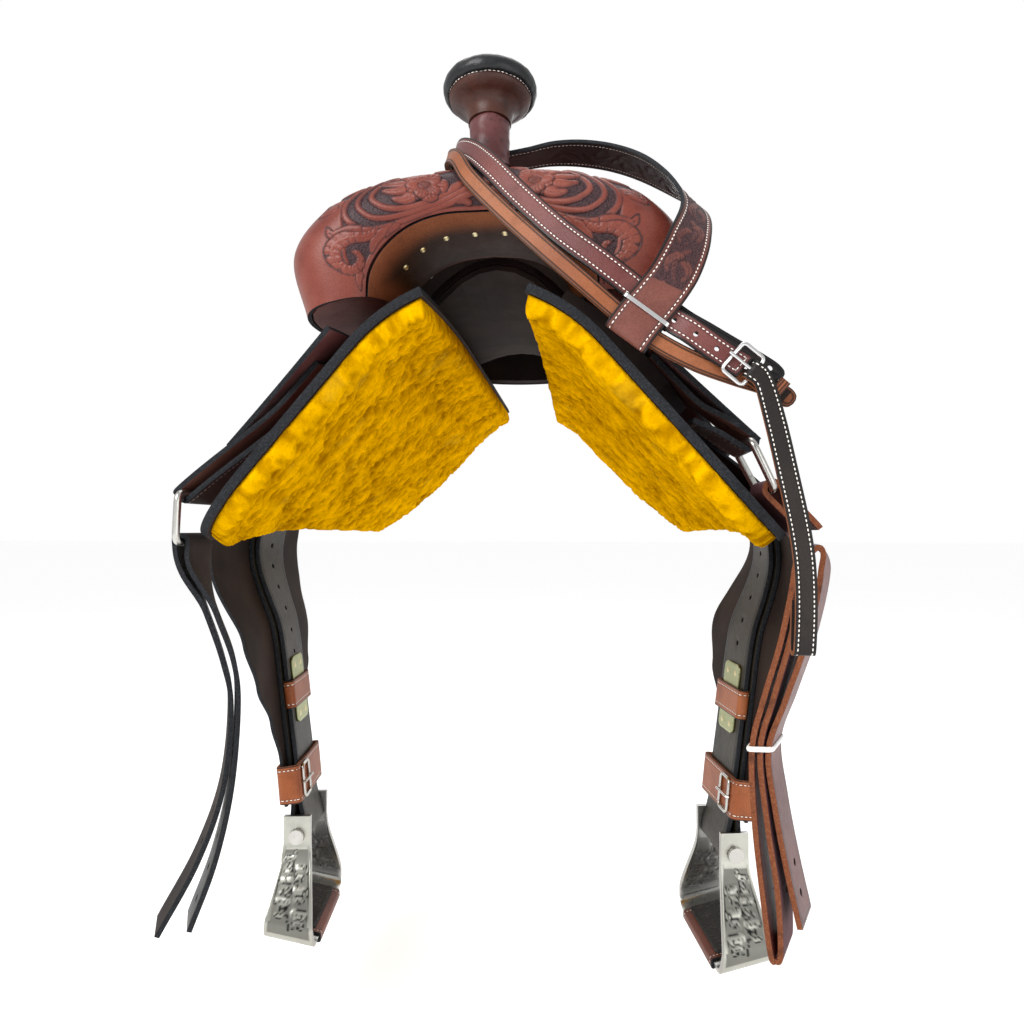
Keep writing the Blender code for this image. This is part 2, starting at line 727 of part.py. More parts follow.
def ring_spot(low_rise, high_rise, half_width, high_z, low_z, name, side):
    """Surface that goes round the leathers between two heights."""
    corner = 0.0010
    loop = [
        (low_rise, -half_width + corner), (low_rise, 0), (low_rise, half_width - corner),
        (low_rise + corner, half_width), (high_rise - corner, half_width),
        (high_rise, half_width - corner), (high_rise, 0), (high_rise, -half_width + corner),
        (high_rise - corner, -half_width), (low_rise + corner, -half_width),
    ]
    loop.append(loop[0])

    def spot(u, v):
        rise, w = loop[round(u * (len(loop) - 1))]
        return on_hang(mix(low_z, high_z, v), w, rise, name, side)

    return spot, len(loop) - 1


def leathers():
    for name, side in SIDES:
        origin = pivot(side)
        loop = leather_loop()
        count = len(loop) - 1

        def leather_spot(u, v):
            return twisted(loop[round(u * count)], LEATHER_WIDTH * (v - 0.5), name, side)

        sheet("stirrup_leather_" + name, count, 2, leather_spot, LEATHER_THICK, dark_leather, origin, ring=True)
        rise = FENDER_RUN - INNER_RUN

        def fender_spot(u, v):
            z = RUN_Z[round((1 - v) * (len(RUN_Z) - 1))]
            w = mix(-table(z, FENDER_FRONT), table(z, FENDER_REAR), u)
            return on_hang(z, w, rise, name, side)

        sheet("fender_" + name, 6, len(RUN_Z) - 1, fender_spot, FENDER_THICK, dark_leather, origin)
        half = LEATHER_THICK / 2
        plate_rise = -half - SEAT_GAP - 0.001

        def plate_spot(u, v):
            return on_hang(mix(BUCKLE_LOW_Z, BUCKLE_HIGH_Z, v), mix(-0.020, 0.020, u), plate_rise, name, side)

        sheet("buckle_plate_" + name, 1, 2, plate_spot, 0.002, brass, origin)
        cover_half = 0.0008
        spot, around = ring_spot(
            plate_rise - 0.001 - 0.0006 - cover_half, half + 0.0008 + cover_half,
            LEATHER_WIDTH / 2 + 0.0008 + cover_half, SLEEVE_HIGH_Z, SLEEVE_LOW_Z, name, side,
        )
        sheet("buckle_sleeve_" + name, around, 1, spot, 2 * cover_half, tan_leather, origin, ring=True)
        hobble_half = HOBBLE_THICK / 2
        spot, around = ring_spot(
            -half - DRAPE_GAP - hobble_half, rise + FENDER_THICK / 2 + DRAPE_GAP + hobble_half,
            FENDER_NECK + 0.0012 + hobble_half, HOBBLE_HIGH_Z, HOBBLE_LOW_Z, name, side,
        )
        hobble = sheet("hobble_strap_" + name, around, 1, spot, HOBBLE_THICK, tan_leather, origin, ring=True)
        hobble_buckle(name, side, origin, hobble, -half - DRAPE_GAP - HOBBLE_THICK)


BUCKLE_BAR_W = -0.036
BUCKLE_FAR_W = -0.014
BUCKLE_HALF_HEIGHT = 0.016
BUCKLE_WIRE = 0.0014
TONGUE_WIRE = 0.0011


def hobble_buckle(name, side, origin, strap_ring, face_rise):
    """Buckle frame on the inner face of the hobble strap, and the tongue that turns on its front bar."""
    middle = (HOBBLE_HIGH_Z + HOBBLE_LOW_Z) / 2
    rise = face_rise - SEAT_GAP - BUCKLE_WIRE
    corner = 0.003
    high = BUCKLE_HALF_HEIGHT
    frame = [
        (BUCKLE_BAR_W, -high + corner), (BUCKLE_BAR_W, high - corner), (BUCKLE_BAR_W + corner, high),
        (BUCKLE_FAR_W - corner, high), (BUCKLE_FAR_W, high - corner), (BUCKLE_FAR_W, -high + corner),
        (BUCKLE_FAR_W - corner, -high), (BUCKLE_BAR_W + corner, -high),
    ]
    points = [on_hang(middle + z, w, rise, name, side) for w, z in frame]
    wire("hobble_buckle_" + name, points, BUCKLE_WIRE, steel, origin, cyclic=True)
    eye = BUCKLE_WIRE + TONGUE_WIRE + SEAT_GAP
    lift = rise - eye
    path = [(BUCKLE_BAR_W + eye * cos(radians(a)), rise + eye * sin(radians(a))) for a in (40, 90, 140, 190, 240)]
    path.append((BUCKLE_FAR_W + 0.003, lift))
    points = [on_hang(middle, w, r, name, side) for w, r in path]
    bar = on_hang(middle, BUCKLE_BAR_W, rise, name, side)
    wire("hobble_tongue_" + name, points, TONGUE_WIRE, steel, bar)
    beside = on_hang(middle, BUCKLE_BAR_W + 0.001, rise, name, side) - bar
    slot = block("tongue_slot_" + name, (0.011, 0.011, 2 * TONGUE_WIRE + 0.0014), bar,
                 turn=Matrix.Rotation(atan2(beside.y, beside.x), 4, "Z"), collection=cutters)
    cut(strap_ring, slot)


# Stirrup: one bent aluminium bar, its bolt, the leather wrap of the tread and the pad on it
def stirrup_outline():
    """Half of the bar's middle line as (y, z) from the bolt, from the ear down to the tread's middle."""
    ear = NECK_WIDTH / 2 + STIRRUP_METAL / 2
    foot = TREAD_LENGTH / 2
    low = -STIRRUP_DROP
    return [
        (ear, EAR_RISE), (ear, 0.008), (ear, -0.008), (ear + 0.004, -0.024), (mix(ear, foot, 0.55), -0.048),
        (foot - 0.002, -0.070), (foot, low + 0.014), (foot - 0.004, low + 0.004), (foot - 0.015, low),
        (foot - 0.035, low), (0, low),
    ]


def slanted(point, depth):
    """The lower part of the bar slopes across, its inner edge lower."""
    share = ramp(-depth, 0.02, STIRRUP_DROP)
    return Vector((point.x, point.y, point.z + TREAD_SLANT * point.x * share))


def stirrups():
    half = stirrup_outline()
    line = [(-y, z) for y, z in half] + [(y, z) for y, z in reversed(half[:-1])]
    for name, side in SIDES:
        centre = bolt_centre()
        origin = Vector((side * centre.x, MID_Y, centre.y))
        out = centre.x - spline_at(HANG_LINE, 1.0).x
        origin.x = side * (centre.x + out * (cos(TURN[name]) - 1))
        turn = Matrix.Rotation(side * TURN[name], 4, "Z")
        count = len(line) - 1

        def frame_spot(u, v):
            y, z = line[round(u * count)]
            width = mix(LEG_TOP_WIDTH, TREAD_WIDTH, ramp(-z, 0.0, STIRRUP_DROP))
            across = slanted(Vector((width * (v - 0.5), y, z)), z)
            across.x *= side
            return origin + turn @ across

        frame = sheet("stirrup_frame_" + name, count, 1, frame_spot, STIRRUP_METAL, aluminium, origin)
        bore = turned("bolt_bore_" + name, (
            (0, 0.06), (BOLT_RADIUS + 0.0003, 0.06), (BOLT_RADIUS + 0.0003, -0.06), (0, -0.06),
        ), None, origin, 12, cutters)
        bore.rotation_euler = (pi / 2, 0, side * TURN[name])
        cut(frame, bore)
        ear_in = NECK_WIDTH / 2
        ear_out = ear_in + STIRRUP_METAL
        sleeve = ear_in - 0.0007
        head = ear_out + 0.0005
        bolt = turned("stirrup_bolt_" + name, (
            (0, head + 0.004), (BOLT_HEAD_RADIUS, head + 0.004), (BOLT_HEAD_RADIUS, head),
            (BOLT_RADIUS, head),
            (BOLT_RADIUS, sleeve), (SLEEVE_RADIUS, sleeve), (SLEEVE_RADIUS, -sleeve), (BOLT_RADIUS, -sleeve),
            (BOLT_RADIUS, -head), (BOLT_HEAD_RADIUS, -head), (BOLT_HEAD_RADIUS, -head - 0.004),
            (0, -head - 0.004),
        ), steel, origin, 12)
        bolt.rotation_euler = (pi / 2, 0, side * TURN[name])
        wrap_half = WRAP_THICK / 2
        reach_x = TREAD_WIDTH / 2 + SEAT_GAP + wrap_half
        reach_z = STIRRUP_METAL / 2 + SEAT_GAP + wrap_half
        loop = [(reach_x, reach_z), (0, reach_z), (-reach_x, reach_z), (-reach_x - 0.001, 0), (-reach_x, -reach_z),
                (0, -reach_z), (reach_x, -reach_z), (reach_x + 0.001, 0), (reach_x, reach_z)]
        wrap_length = TREAD_LENGTH - 0.044

        def wrap_spot(u, v):
            x, z = loop[round(u * 8)]
            point = Vector((side * x, wrap_length * (v - 0.5), -STIRRUP_DROP + z + TREAD_SLANT * x))
            return origin + turn @ point

        sheet("tread_leather_" + name, 8, 2, wrap_spot, WRAP_THICK, oxblood, origin, ring=True)
        pad_rise = STIRRUP_METAL / 2 + WRAP_THICK + PAD_THICK / 2 + 3 * SEAT_GAP
        slope = Matrix.Rotation(-side * atan2(TREAD_SLANT, 1), 4, "Y")
        centre_of_pad = origin + Vector((0, 0, -STIRRUP_DROP + pad_rise))
        block("tread_pad_" + name, (TREAD_WIDTH - 0.010, wrap_length - 0.008, PAD_THICK), centre_of_pad, rubber,
              turn @ slope, 0.0006)


# Rigging straps folded round their D rings, with the latigo and the billet on the rings
# Each D ring's upper bar, as s and rise over the skirt, and how steeply the ring hangs
DEE_PLACE = {
    "near": (SKIRT_LENGTH - 0.076, 0.0235, radians(64)),
    "off": (SKIRT_LENGTH - 0.0225, 0.0275, radians(84)),
}
LATIGO_FALL = radians(47.3)
FOLD_TURNS = [radians(k) for k in (0, 45, 90, 135, 180)]


def dee_bars(name):
    """Centres (x, z) of a D ring's upper bar and of its lower bar, and the ring's direction down."""
    s, rise, fall = DEE_PLACE[name]
    upper = drape(s, RIG_Y, rise)
    upper = Vector((upper.x, upper.z))
    down = Vector((cos(fall), -sin(fall)))
    return upper, upper + down * DEE_DEPTH, down


def flat_strap(name, side, flats, width, thick, y, mat, origin, lean=0.0, lean_z=(0, 0)):
    """Strap along (x, z) points, its width along the horse, turned by lean about the vertical lower down."""
    count = len(flats) - 1

    def spot(u, v):
        flat = flats[round(u * count)]
        turn = lean * ramp(flat.y, *lean_z) if lean else 0.0
        w = width * (v - 0.5)
        return Vector((side * (flat.x + w * sin(turn)), y + w * cos(turn), flat.y))

    return sheet(name, count, 1, spot, thick, mat, origin)


def smooth_line(start, offsets, count):
    """Points of the smooth curve through the offsets from start."""
    line = [start + Vector(p) for p in offsets]
    return [spline_at(line, k / count) for k in range(count + 1)]


def rigging():
    half = STRAP_THICK / 2
    eye = DEE_WIRE + 0.0008 + half
    over_bar = BAR_THICK + 2 * DRAPE_GAP + half
    for name, side in SIDES:
        upper, lower, _ = dee_bars(name)
        dee_s, dee_rise, _ = DEE_PLACE[name]
        fold = [(dee_s + eye * sin(a), dee_rise + eye * cos(a)) for a in FOLD_TURNS]
        first = (BAR_LOW_S, over_bar + 0.0006)
        last = (BAR_LOW_S + 0.008, 0.0075)
        outer = [(0.100, over_bar), (0.125, over_bar), first]
        outer += [(mix(first[0], fold[0][0], k / 3), mix(first[1], fold[0][1], k / 3)) for k in (1, 2)]
        inner = [(mix(fold[-1][0], last[0], k / 3), mix(fold[-1][1], last[1], k / 3)) for k in (1, 2, 3)]
        path = outer + fold + inner

        def rigging_spot(u, v):
            s, rise = path[round(u * (len(path) - 1))]
            w = RIG_WIDTH * (v - 0.5)
            square = drape(s, RIG_Y, rise, side) + Vector((0, w, 0))
            return mix(drape(s, RIG_Y + w, rise, side), square, ramp(s, BAR_LOW_S, dee_s - 0.015))

        sheet("rigging_" + name, len(path) - 1, 1, rigging_spot, STRAP_THICK, black_leather)
        wide = DEE_WIDTH / 2
        narrow = 0.86 * wide
        shape = [(-wide + 0.003, 0), (wide - 0.003, 0), (wide, 0.07), (wide, 0.25), (0.92 * wide, 0.62),
                 (narrow, 0.92), (narrow - 0.003, 1.0), (-narrow + 0.003, 1.0), (-narrow, 0.92),
                 (-0.92 * wide, 0.62), (-wide, 0.25), (-wide, 0.07)]
        points = []
        for y, share in shape:
            flat = mix(upper, lower, share)
            points.append(Vector((side * flat.x, RIG_Y + y, flat.y)))
        wire("dee_" + name, points, DEE_WIRE, steel, Vector((side * upper.x, RIG_Y, upper.y)), cyclic=True)
    _, lower, _ = dee_bars("near")
    down = Vector((cos(LATIGO_FALL), -sin(LATIGO_FALL)))
    out = Vector((-down.y, down.x))
    stub = [lower + down * 0.045 + out * eye, lower + down * 0.022 + out * eye]
    fold = [lower + out * (eye * cos(a)) - down * (eye * sin(a)) for a in FOLD_TURNS]
    run_in = [lower + down * 0.014 - out * eye, lower + down * 0.028 - out * (eye - 0.0002)]
    hank = smooth_line(lower, (
        (0.0230, -0.0382), (0.0246, -0.0522), (0.0214, -0.0772), (0.0126, -0.1172), (0.0006, -0.1572),
        (-0.0079, -0.1942), (-0.0064, -0.2472), (-0.0014, -0.2972), (0.0041, -0.3422), (0.0076, -0.3482),
        (0.0116, -0.3422), (0.0096, -0.2972), (0.0026, -0.2472), (-0.0019, -0.1942), (0.0076, -0.1572),
        (0.0191, -0.1172), (0.0281, -0.0772), (0.0316, -0.0522), (0.0376, -0.0432), (0.0431, -0.0522),
        (0.0406, -0.0772), (0.0306, -0.1172), (0.0166, -0.1572), (0.0041, -0.1942), (0.0086, -0.2372),
        (0.0166, -0.2822), (0.0256, -0.3242),
    ), 52)
    origin = Vector((lower.x, RIG_Y, lower.y))
    flat_strap("latigo", 1, stub + fold + run_in + hank, LATIGO_WIDTH, STRAP_THICK, RIG_Y, oxblood, origin,
               radians(25), (lower.y - 0.0232, lower.y - 0.0622))
    _, lower, down = dee_bars("off")
    out = Vector((-down.y, down.x))
    fold = [lower + out * (eye * cos(a)) - down * (eye * sin(a)) for a in FOLD_TURNS]
    outer_leaf = smooth_line(lower, (
        (0.0264, -0.3175), (-0.0073, -0.2568), (-0.0283, -0.1973), (-0.0343, -0.1328), (-0.0273, -0.0968),
        (-0.0123, -0.0568), (0.0012, -0.0268),
    ), 14)
    inner_leaf = smooth_line(lower, (
        (-0.0063, -0.0218), (-0.0223, -0.0608), (-0.0363, -0.0968), (-0.0403, -0.1328), (-0.0353, -0.1973),
        (-0.0218, -0.2568), (-0.0009, -0.3118),
    ), 14)
    origin = Vector((-lower.x, RIG_Y, lower.y))
    flat_strap("off_billet", -1, outer_leaf + fold + inner_leaf, BILLET_WIDTH, STRAP_THICK, RIG_Y, black_leather,
               origin, radians(28), (lower.y - 0.0068, lower.y - 0.0568))


# Straps hung on the horn
def path_strap(name, points, across, width, thick, mat, steps, origin=(0, 0, 0)):
    """Strap through the points, its width direction read from as many directions."""
    line = [Vector(p) for p in points]
    ways = [Vector(p).normalized() for p in across]

    def way(t):
        return spline_at(ways, t).normalized()

    return strap(name, line, way, width, thick, mat, steps, origin)


TACK_THICK = 0.003
BAND_WIDTH = 0.034
TAN_WIDTH = 0.013
STITCHED_WIDTH = 0.0175
FRONT_PLANE_Y = -0.3062
BUCKLE_PLANE_Y = -0.3145
TACK_BUCKLE = Vector((0.1868, BUCKLE_PLANE_Y, -0.0805))
TACK_ALONG = Vector((0.75, 0, -0.66)).normalized()
TACK_ACROSS = Vector((0.66, 0, 0.75)).normalized()
TACK_BUCKLE_HALF = (0.009, 0.0118)
TACK_WIRE = 0.0013


def on_buckle(along, across, ahead=0.0):
    """Point in the plane of the straps' buckle, ahead of that plane by so much."""
    return TACK_BUCKLE + TACK_ALONG * along + TACK_ACROSS * across + Vector((0, -ahead, 0))


def poly_strap(name, points, across, width, thick, mat, origin=(0, 0, 0)):
    """Strap through exactly these points, each with its own width direction."""
    count = len(points) - 1

    def spot(u, v):
        k = round(u * count)
        return points[k] + across[k].normalized() * (width * (v - 0.5))

    return sheet(name, count, 1, spot, thick, mat, origin)


def tack():
    path_strap("collar_band", (
        (-0.0030, -0.1768, 0.1340), (0.0120, -0.1768, 0.1360), (0.0310, -0.1775, 0.1385),
        (0.0535, -0.1800, 0.1402),
        (0.0791, -0.1860, 0.1360), (0.1053, -0.1960, 0.1255), (0.1290, -0.2140, 0.1065),
        (0.1500, -0.2400, 0.0780),
        (0.1620, -0.2700, 0.0480), (0.1550, -0.2960, 0.0160), (0.1440, -0.3070, -0.0115),
        (0.1320, -0.3101, -0.0295),
        (0.1197, -0.3101, -0.0440), (0.1110, -0.3101, -0.0553), (0.1093, -0.3090, -0.0576),
        (0.1086, -0.3062, -0.0584), (0.1093, -0.3034, -0.0576), (0.1110, -0.3023, -0.0553),
        (0.1175, -0.3023, -0.0470), (0.1240, -0.3023, -0.0390),
    ), (
        (0, 1, 0), (0, 1, 0), (-0.05, 1, 0), (-0.1, 0.97, -0.08), (-0.12, 0.97, -0.12), (-0.10, 0.97, -0.12),
        (0.0, 0.97, -0.10), (0.25, 0.93, -0.05), (0.62, 0.77, 0.0), (0.88, 0.45, -0.10), (0.90, 0.18, -0.30),
        (0.85, 0.0, -0.50), (0.79, 0, -0.61), (0.79, 0, -0.61), (0.79, 0, -0.61), (0.79, 0, -0.61),
        (0.79, 0, -0.61),
        (0.79, 0, -0.61), (0.79, 0, -0.61), (0.79, 0, -0.61),
    ), BAND_WIDTH, TACK_THICK, burgundy, 38)
    path_strap("tan_strap", (
        (-0.0335, -0.2050, 0.1150), (-0.0330, -0.2250, 0.1150), (-0.0275, -0.2430, 0.1095),
        (-0.0190, -0.2600, 0.0985), (-0.0075, -0.2740, 0.0765), (0.0176, -0.2860, 0.0460),
        (0.0481, -0.3000, 0.0123), (0.0765, FRONT_PLANE_Y, -0.0157),
        (0.1070, FRONT_PLANE_Y, -0.0435), (0.1310, FRONT_PLANE_Y, -0.0620), (0.1570, FRONT_PLANE_Y, -0.0765),
        (0.1835, FRONT_PLANE_Y, -0.0870), (0.2059, FRONT_PLANE_Y, -0.0950), (0.2224, FRONT_PLANE_Y, -0.1058),
    ), (
        (0.1, 0, 1), (0.2, 0, 1), (0.5, 0, 0.86), (0.66, 0, 0.75), (0.71, 0, 0.70), (0.71, 0, 0.70),
        (0.68, 0, 0.73),
        (0.66, 0, 0.75), (0.62, 0, 0.78), (0.52, 0, 0.85), (0.42, 0, 0.91), (0.42, 0, 0.91), (0.50, 0, 0.87),
        (0.55, 0, 0.84),
    ), TAN_WIDTH, TACK_THICK, tan_leather, 39)
    tip = on_buckle(0.0025, 0)
    path_strap("stitched_strap", (
        (-0.0050, -0.1880, 0.1200), (-0.0220, -0.1960, 0.1205), (-0.0285, -0.2120, 0.1215),
        (-0.0230, -0.2310, 0.1215),
        (-0.0090, -0.2530, 0.1080), (0.0085, -0.2740, 0.0850), (0.0325, -0.2870, 0.0549),
        (0.0623, -0.3000, 0.0217),
        (0.0904, FRONT_PLANE_Y, -0.0029), (0.1181, FRONT_PLANE_Y, -0.0261), (0.1400, -0.3066, -0.0460),
        (0.1530, -0.3105, -0.0560), (0.1710, -0.3113, -0.0700), (tip.x, -0.3113, tip.z),
    ), (
        (0, 0, 1), (0.05, 0, 1), (0.15, 0, 1), (0.35, 0, 0.93), (0.58, 0, 0.81), (0.71, 0, 0.70),
        (0.71, 0, 0.70),
        (0.68, 0, 0.73), (0.66, 0, 0.75), (0.66, 0, 0.75), (0.64, 0, 0.77), (0.62, 0, 0.78), (0.64, 0, 0.77),
        (0.66, 0, 0.75),
    ), STITCHED_WIDTH, TACK_THICK, burgundy, 39)
    half_long, half_wide = TACK_BUCKLE_HALF
    corner = 0.002
    frame = [
        (half_long, -half_wide + corner), (half_long, half_wide - corner), (half_long - corner, half_wide),
        (-half_long + corner, half_wide), (-half_long, half_wide - corner), (-half_long, -half_wide + corner),
        (-half_long + corner, -half_wide), (half_long - corner, -half_wide),
    ]
    wire("tack_buckle", [on_buckle(*p) for p in frame], TACK_WIRE, steel, TACK_BUCKLE, cyclic=True)
    bar = on_buckle(half_long, 0)
    eye = TACK_WIRE + TONGUE_WIRE + SEAT_GAP
    tongue = [
        on_buckle(half_long + eye * cos(radians(a)), 0, eye * sin(radians(a))) for a in (-130, -85, -40, 5, 50, 90)
    ]
    tongue.append(on_buckle(-half_long - 0.003, 0, eye))
    wire("tack_tongue", tongue, TONGUE_WIRE, steel, bar)
    wrap = TACK_WIRE + SEAT_GAP + TACK_THICK / 2 + 0.0002
    fold = [on_buckle(half_long - wrap * sin(radians(a)), 0, -wrap * cos(radians(a))) for a in (0, 45, 90, 135, 180)]
    run = [on_buckle(half_long + 0.028, 0, -wrap), on_buckle(half_long + 0.010, 0, -wrap)] + fold
    run += [
        on_buckle(half_long + 0.006, 0, wrap), Vector((0.2015, -0.3185, -0.1000)), Vector((0.2080, -0.3180, -0.1250)),
        Vector((0.2150, -0.3170, -0.1560)), Vector((0.2215, -0.3165, -0.1870)),
        Vector((0.2255, -0.3160, -0.2150)),
        Vector((0.2265, -0.3155, -0.2450)), Vector((0.2255, -0.3150, -0.2720)),
        Vector((0.2250, -0.3125, -0.2755)),
        Vector((0.2250, -0.3090, -0.2750)), Vector((0.2252, -0.3072, -0.2700)),
        Vector((0.2260, -0.3080, -0.2400)),
    ]
    ways = [TACK_ACROSS] * 8 + [
        Vector((0.80, 0, 0.60)), Vector((0.93, 0, 0.36)), Vector((0.97, 0, 0.24)), Vector((0.98, 0, 0.20)),
        Vector((0.99, 0, 0.12)), Vector((1, 0, 0.03)), Vector((1, 0, 0)), Vector((1, 0, 0)),
        Vector((1, 0, 0)),
        Vector((1, 0, 0)), Vector((1, 0, 0)),
    ]
    hanging = poly_strap("hanging_strap", run, ways, 0.0140, TACK_THICK, black_leather, bar)
    slot = block("tack_tongue_slot", (2 * eye + 0.006, 0.02, 2 * TONGUE_WIRE + 0.001), bar,
                 turn=Matrix.Rotation(atan2(0.66, 0.75), 4, "Y"), collection=cutters)
    cut(hanging, slot)
    path_strap("thin_strap", (
        (0.1380, -0.2975, -0.0330), (0.1522, -0.2990, -0.0445), (0.1650, -0.3005, -0.0530),
        (0.1792, -0.3015, -0.0625), (0.1992, -0.3024, -0.0755), (0.2165, -0.3026, -0.0872),
    ), (
        (0.60, 0, 0.80), (0.58, 0, 0.81), (0.55, 0, 0.83), (0.52, 0, 0.85), (0.50, 0, 0.87), (0.46, 0, 0.89),
    ), 0.0110, TACK_THICK, black_leather, 10)


def main():
    bpy.context.scene.collection.children.link(saddle)
    bpy.context.scene.collection.children.link(cutters)
    skirts()
    tree_bars()
    swell()
    horn()
    seat()
    jockeys()
    leathers()
    stirrups()
    rigging()
    tack()


main()
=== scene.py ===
"""Western pleasure saddle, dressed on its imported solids: carved swell, skirts, stirrups and hung straps."""

from math import atan2, ceil, cos, pi, radians, sin, sqrt

import bmesh
import bpy
import numpy as np
from mathutils import Matrix, Vector, kdtree, noise


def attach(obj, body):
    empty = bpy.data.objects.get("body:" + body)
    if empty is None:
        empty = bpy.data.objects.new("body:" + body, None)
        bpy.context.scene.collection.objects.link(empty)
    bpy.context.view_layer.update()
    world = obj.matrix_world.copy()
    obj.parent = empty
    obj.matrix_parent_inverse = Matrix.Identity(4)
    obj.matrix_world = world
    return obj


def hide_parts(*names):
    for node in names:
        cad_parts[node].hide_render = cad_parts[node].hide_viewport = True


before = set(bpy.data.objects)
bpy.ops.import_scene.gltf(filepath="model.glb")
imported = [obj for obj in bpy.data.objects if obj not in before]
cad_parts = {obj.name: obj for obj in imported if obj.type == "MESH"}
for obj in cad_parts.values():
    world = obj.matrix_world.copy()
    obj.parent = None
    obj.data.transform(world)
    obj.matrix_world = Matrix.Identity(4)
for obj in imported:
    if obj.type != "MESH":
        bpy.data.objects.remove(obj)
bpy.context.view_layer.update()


# Studio: a pale floor under the hanging saddle, wide soft lamps, and the camera low in front of the horn.
# The camera stands where the photograph was taken from, a little to the near side of the centre line.
CAMERA_PLACE = Vector((0.079, -0.82, -0.193))
CAMERA_YAW = radians(5.6)
CAMERA_PITCH = radians(1.4)
FOCAL_PIXELS = 730
FRAME_PIXELS = 1024
FILM_WIDTH = 36
FLOOR_Z = -0.70
FLOOR_HALF = 30
SKY_LIGHT = 0.72

camera = bpy.data.objects.new("camera", bpy.data.cameras.new("camera"))
camera.data.sensor_width = FILM_WIDTH
camera.data.lens = FOCAL_PIXELS / FRAME_PIXELS * FILM_WIDTH
camera.data.clip_start = 0.02
camera.location = CAMERA_PLACE
gaze = Vector((-sin(CAMERA_YAW) * cos(CAMERA_PITCH), cos(CAMERA_YAW) * cos(CAMERA_PITCH), sin(CAMERA_PITCH)))
camera.rotation_euler = gaze.to_track_quat("-Z", "Y").to_euler()
bpy.context.scene.collection.objects.link(camera)
bpy.context.scene.camera = camera

for lamp_name, place, target, size, power in (
    ("key_lamp", (-0.9, -1.7, 0.9), (0, 0, 0), 1.1, 30),
    ("fill_lamp", (1.2, -1.5, -0.3), (0, 0, -0.1), 1.4, 7),
    ("top_lamp", (0.0, 0.3, 1.7), (0, 0, 0), 1.5, 12),
    ("back_lamp", (0.3, 1.9, 0.9), (0, 0, 0), 1.4, 9),
):
    lamp = bpy.data.objects.new(lamp_name, bpy.data.lights.new(lamp_name, "AREA"))
    lamp.data.shape = "DISK"
    lamp.data.size = size
    lamp.data.energy = power
    lamp.location = place
    lamp.rotation_euler = (Vector(target) - Vector(place)).to_track_quat("-Z", "Y").to_euler()
    bpy.context.scene.collection.objects.link(lamp)

sky = bpy.data.worlds.new("studio")
sky.use_nodes = True
background = sky.node_tree.nodes["Background"]
background.inputs["Color"].default_value = (1.0, 1.0, 1.0, 1.0)
bright = sky.node_tree.nodes.new("ShaderNodeMath")
bright.operation = "MULTIPLY_ADD"
bright.inputs[1].default_value = 1.0 - SKY_LIGHT
bright.inputs[2].default_value = SKY_LIGHT
sky.node_tree.links.new(sky.node_tree.nodes.new("ShaderNodeLightPath").outputs["Is Camera Ray"], bright.inputs[0])
sky.node_tree.links.new(bright.outputs[0], background.inputs["Strength"])
bpy.context.scene.world = sky
bpy.context.scene.view_settings.view_transform = "Standard"


class Socket:
    """Output of a shader node, so that shader maths reads as Python expressions."""

    def __init__(self, finish, output):
        self.finish = finish
        self.output = output

    def maths(self, operation, first, second=0.0):
        return self.finish.node("Math", {"operation": operation}, {0: first, 1: second})

    def __add__(self, other):
        return self.maths("ADD", self, other)

    def __mul__(self, other):
        return self.maths("MULTIPLY", self, other)

    def __sub__(self, other):
        return self.maths("SUBTRACT", self, other)

    def __rsub__(self, other):
        return self.maths("SUBTRACT", other, self)

    def __truediv__(self, other):
        return self.maths("DIVIDE", self, other)

    def __pow__(self, other):
        return self.maths("POWER", self, other)

    def __mod__(self, other):
        return self.maths("FLOORED_MODULO", self, other)

    def __abs__(self):
        return self.maths("ABSOLUTE", self)

    def ease(self, low, high):
        """Smooth step from 0 at low to 1 at high, either way round."""
        return self.finish.node(
            "MapRange", {"interpolation_type": "SMOOTHSTEP"}, {0: self, 1: low, 2: high, 3: 0.0, 4: 1.0}
        )


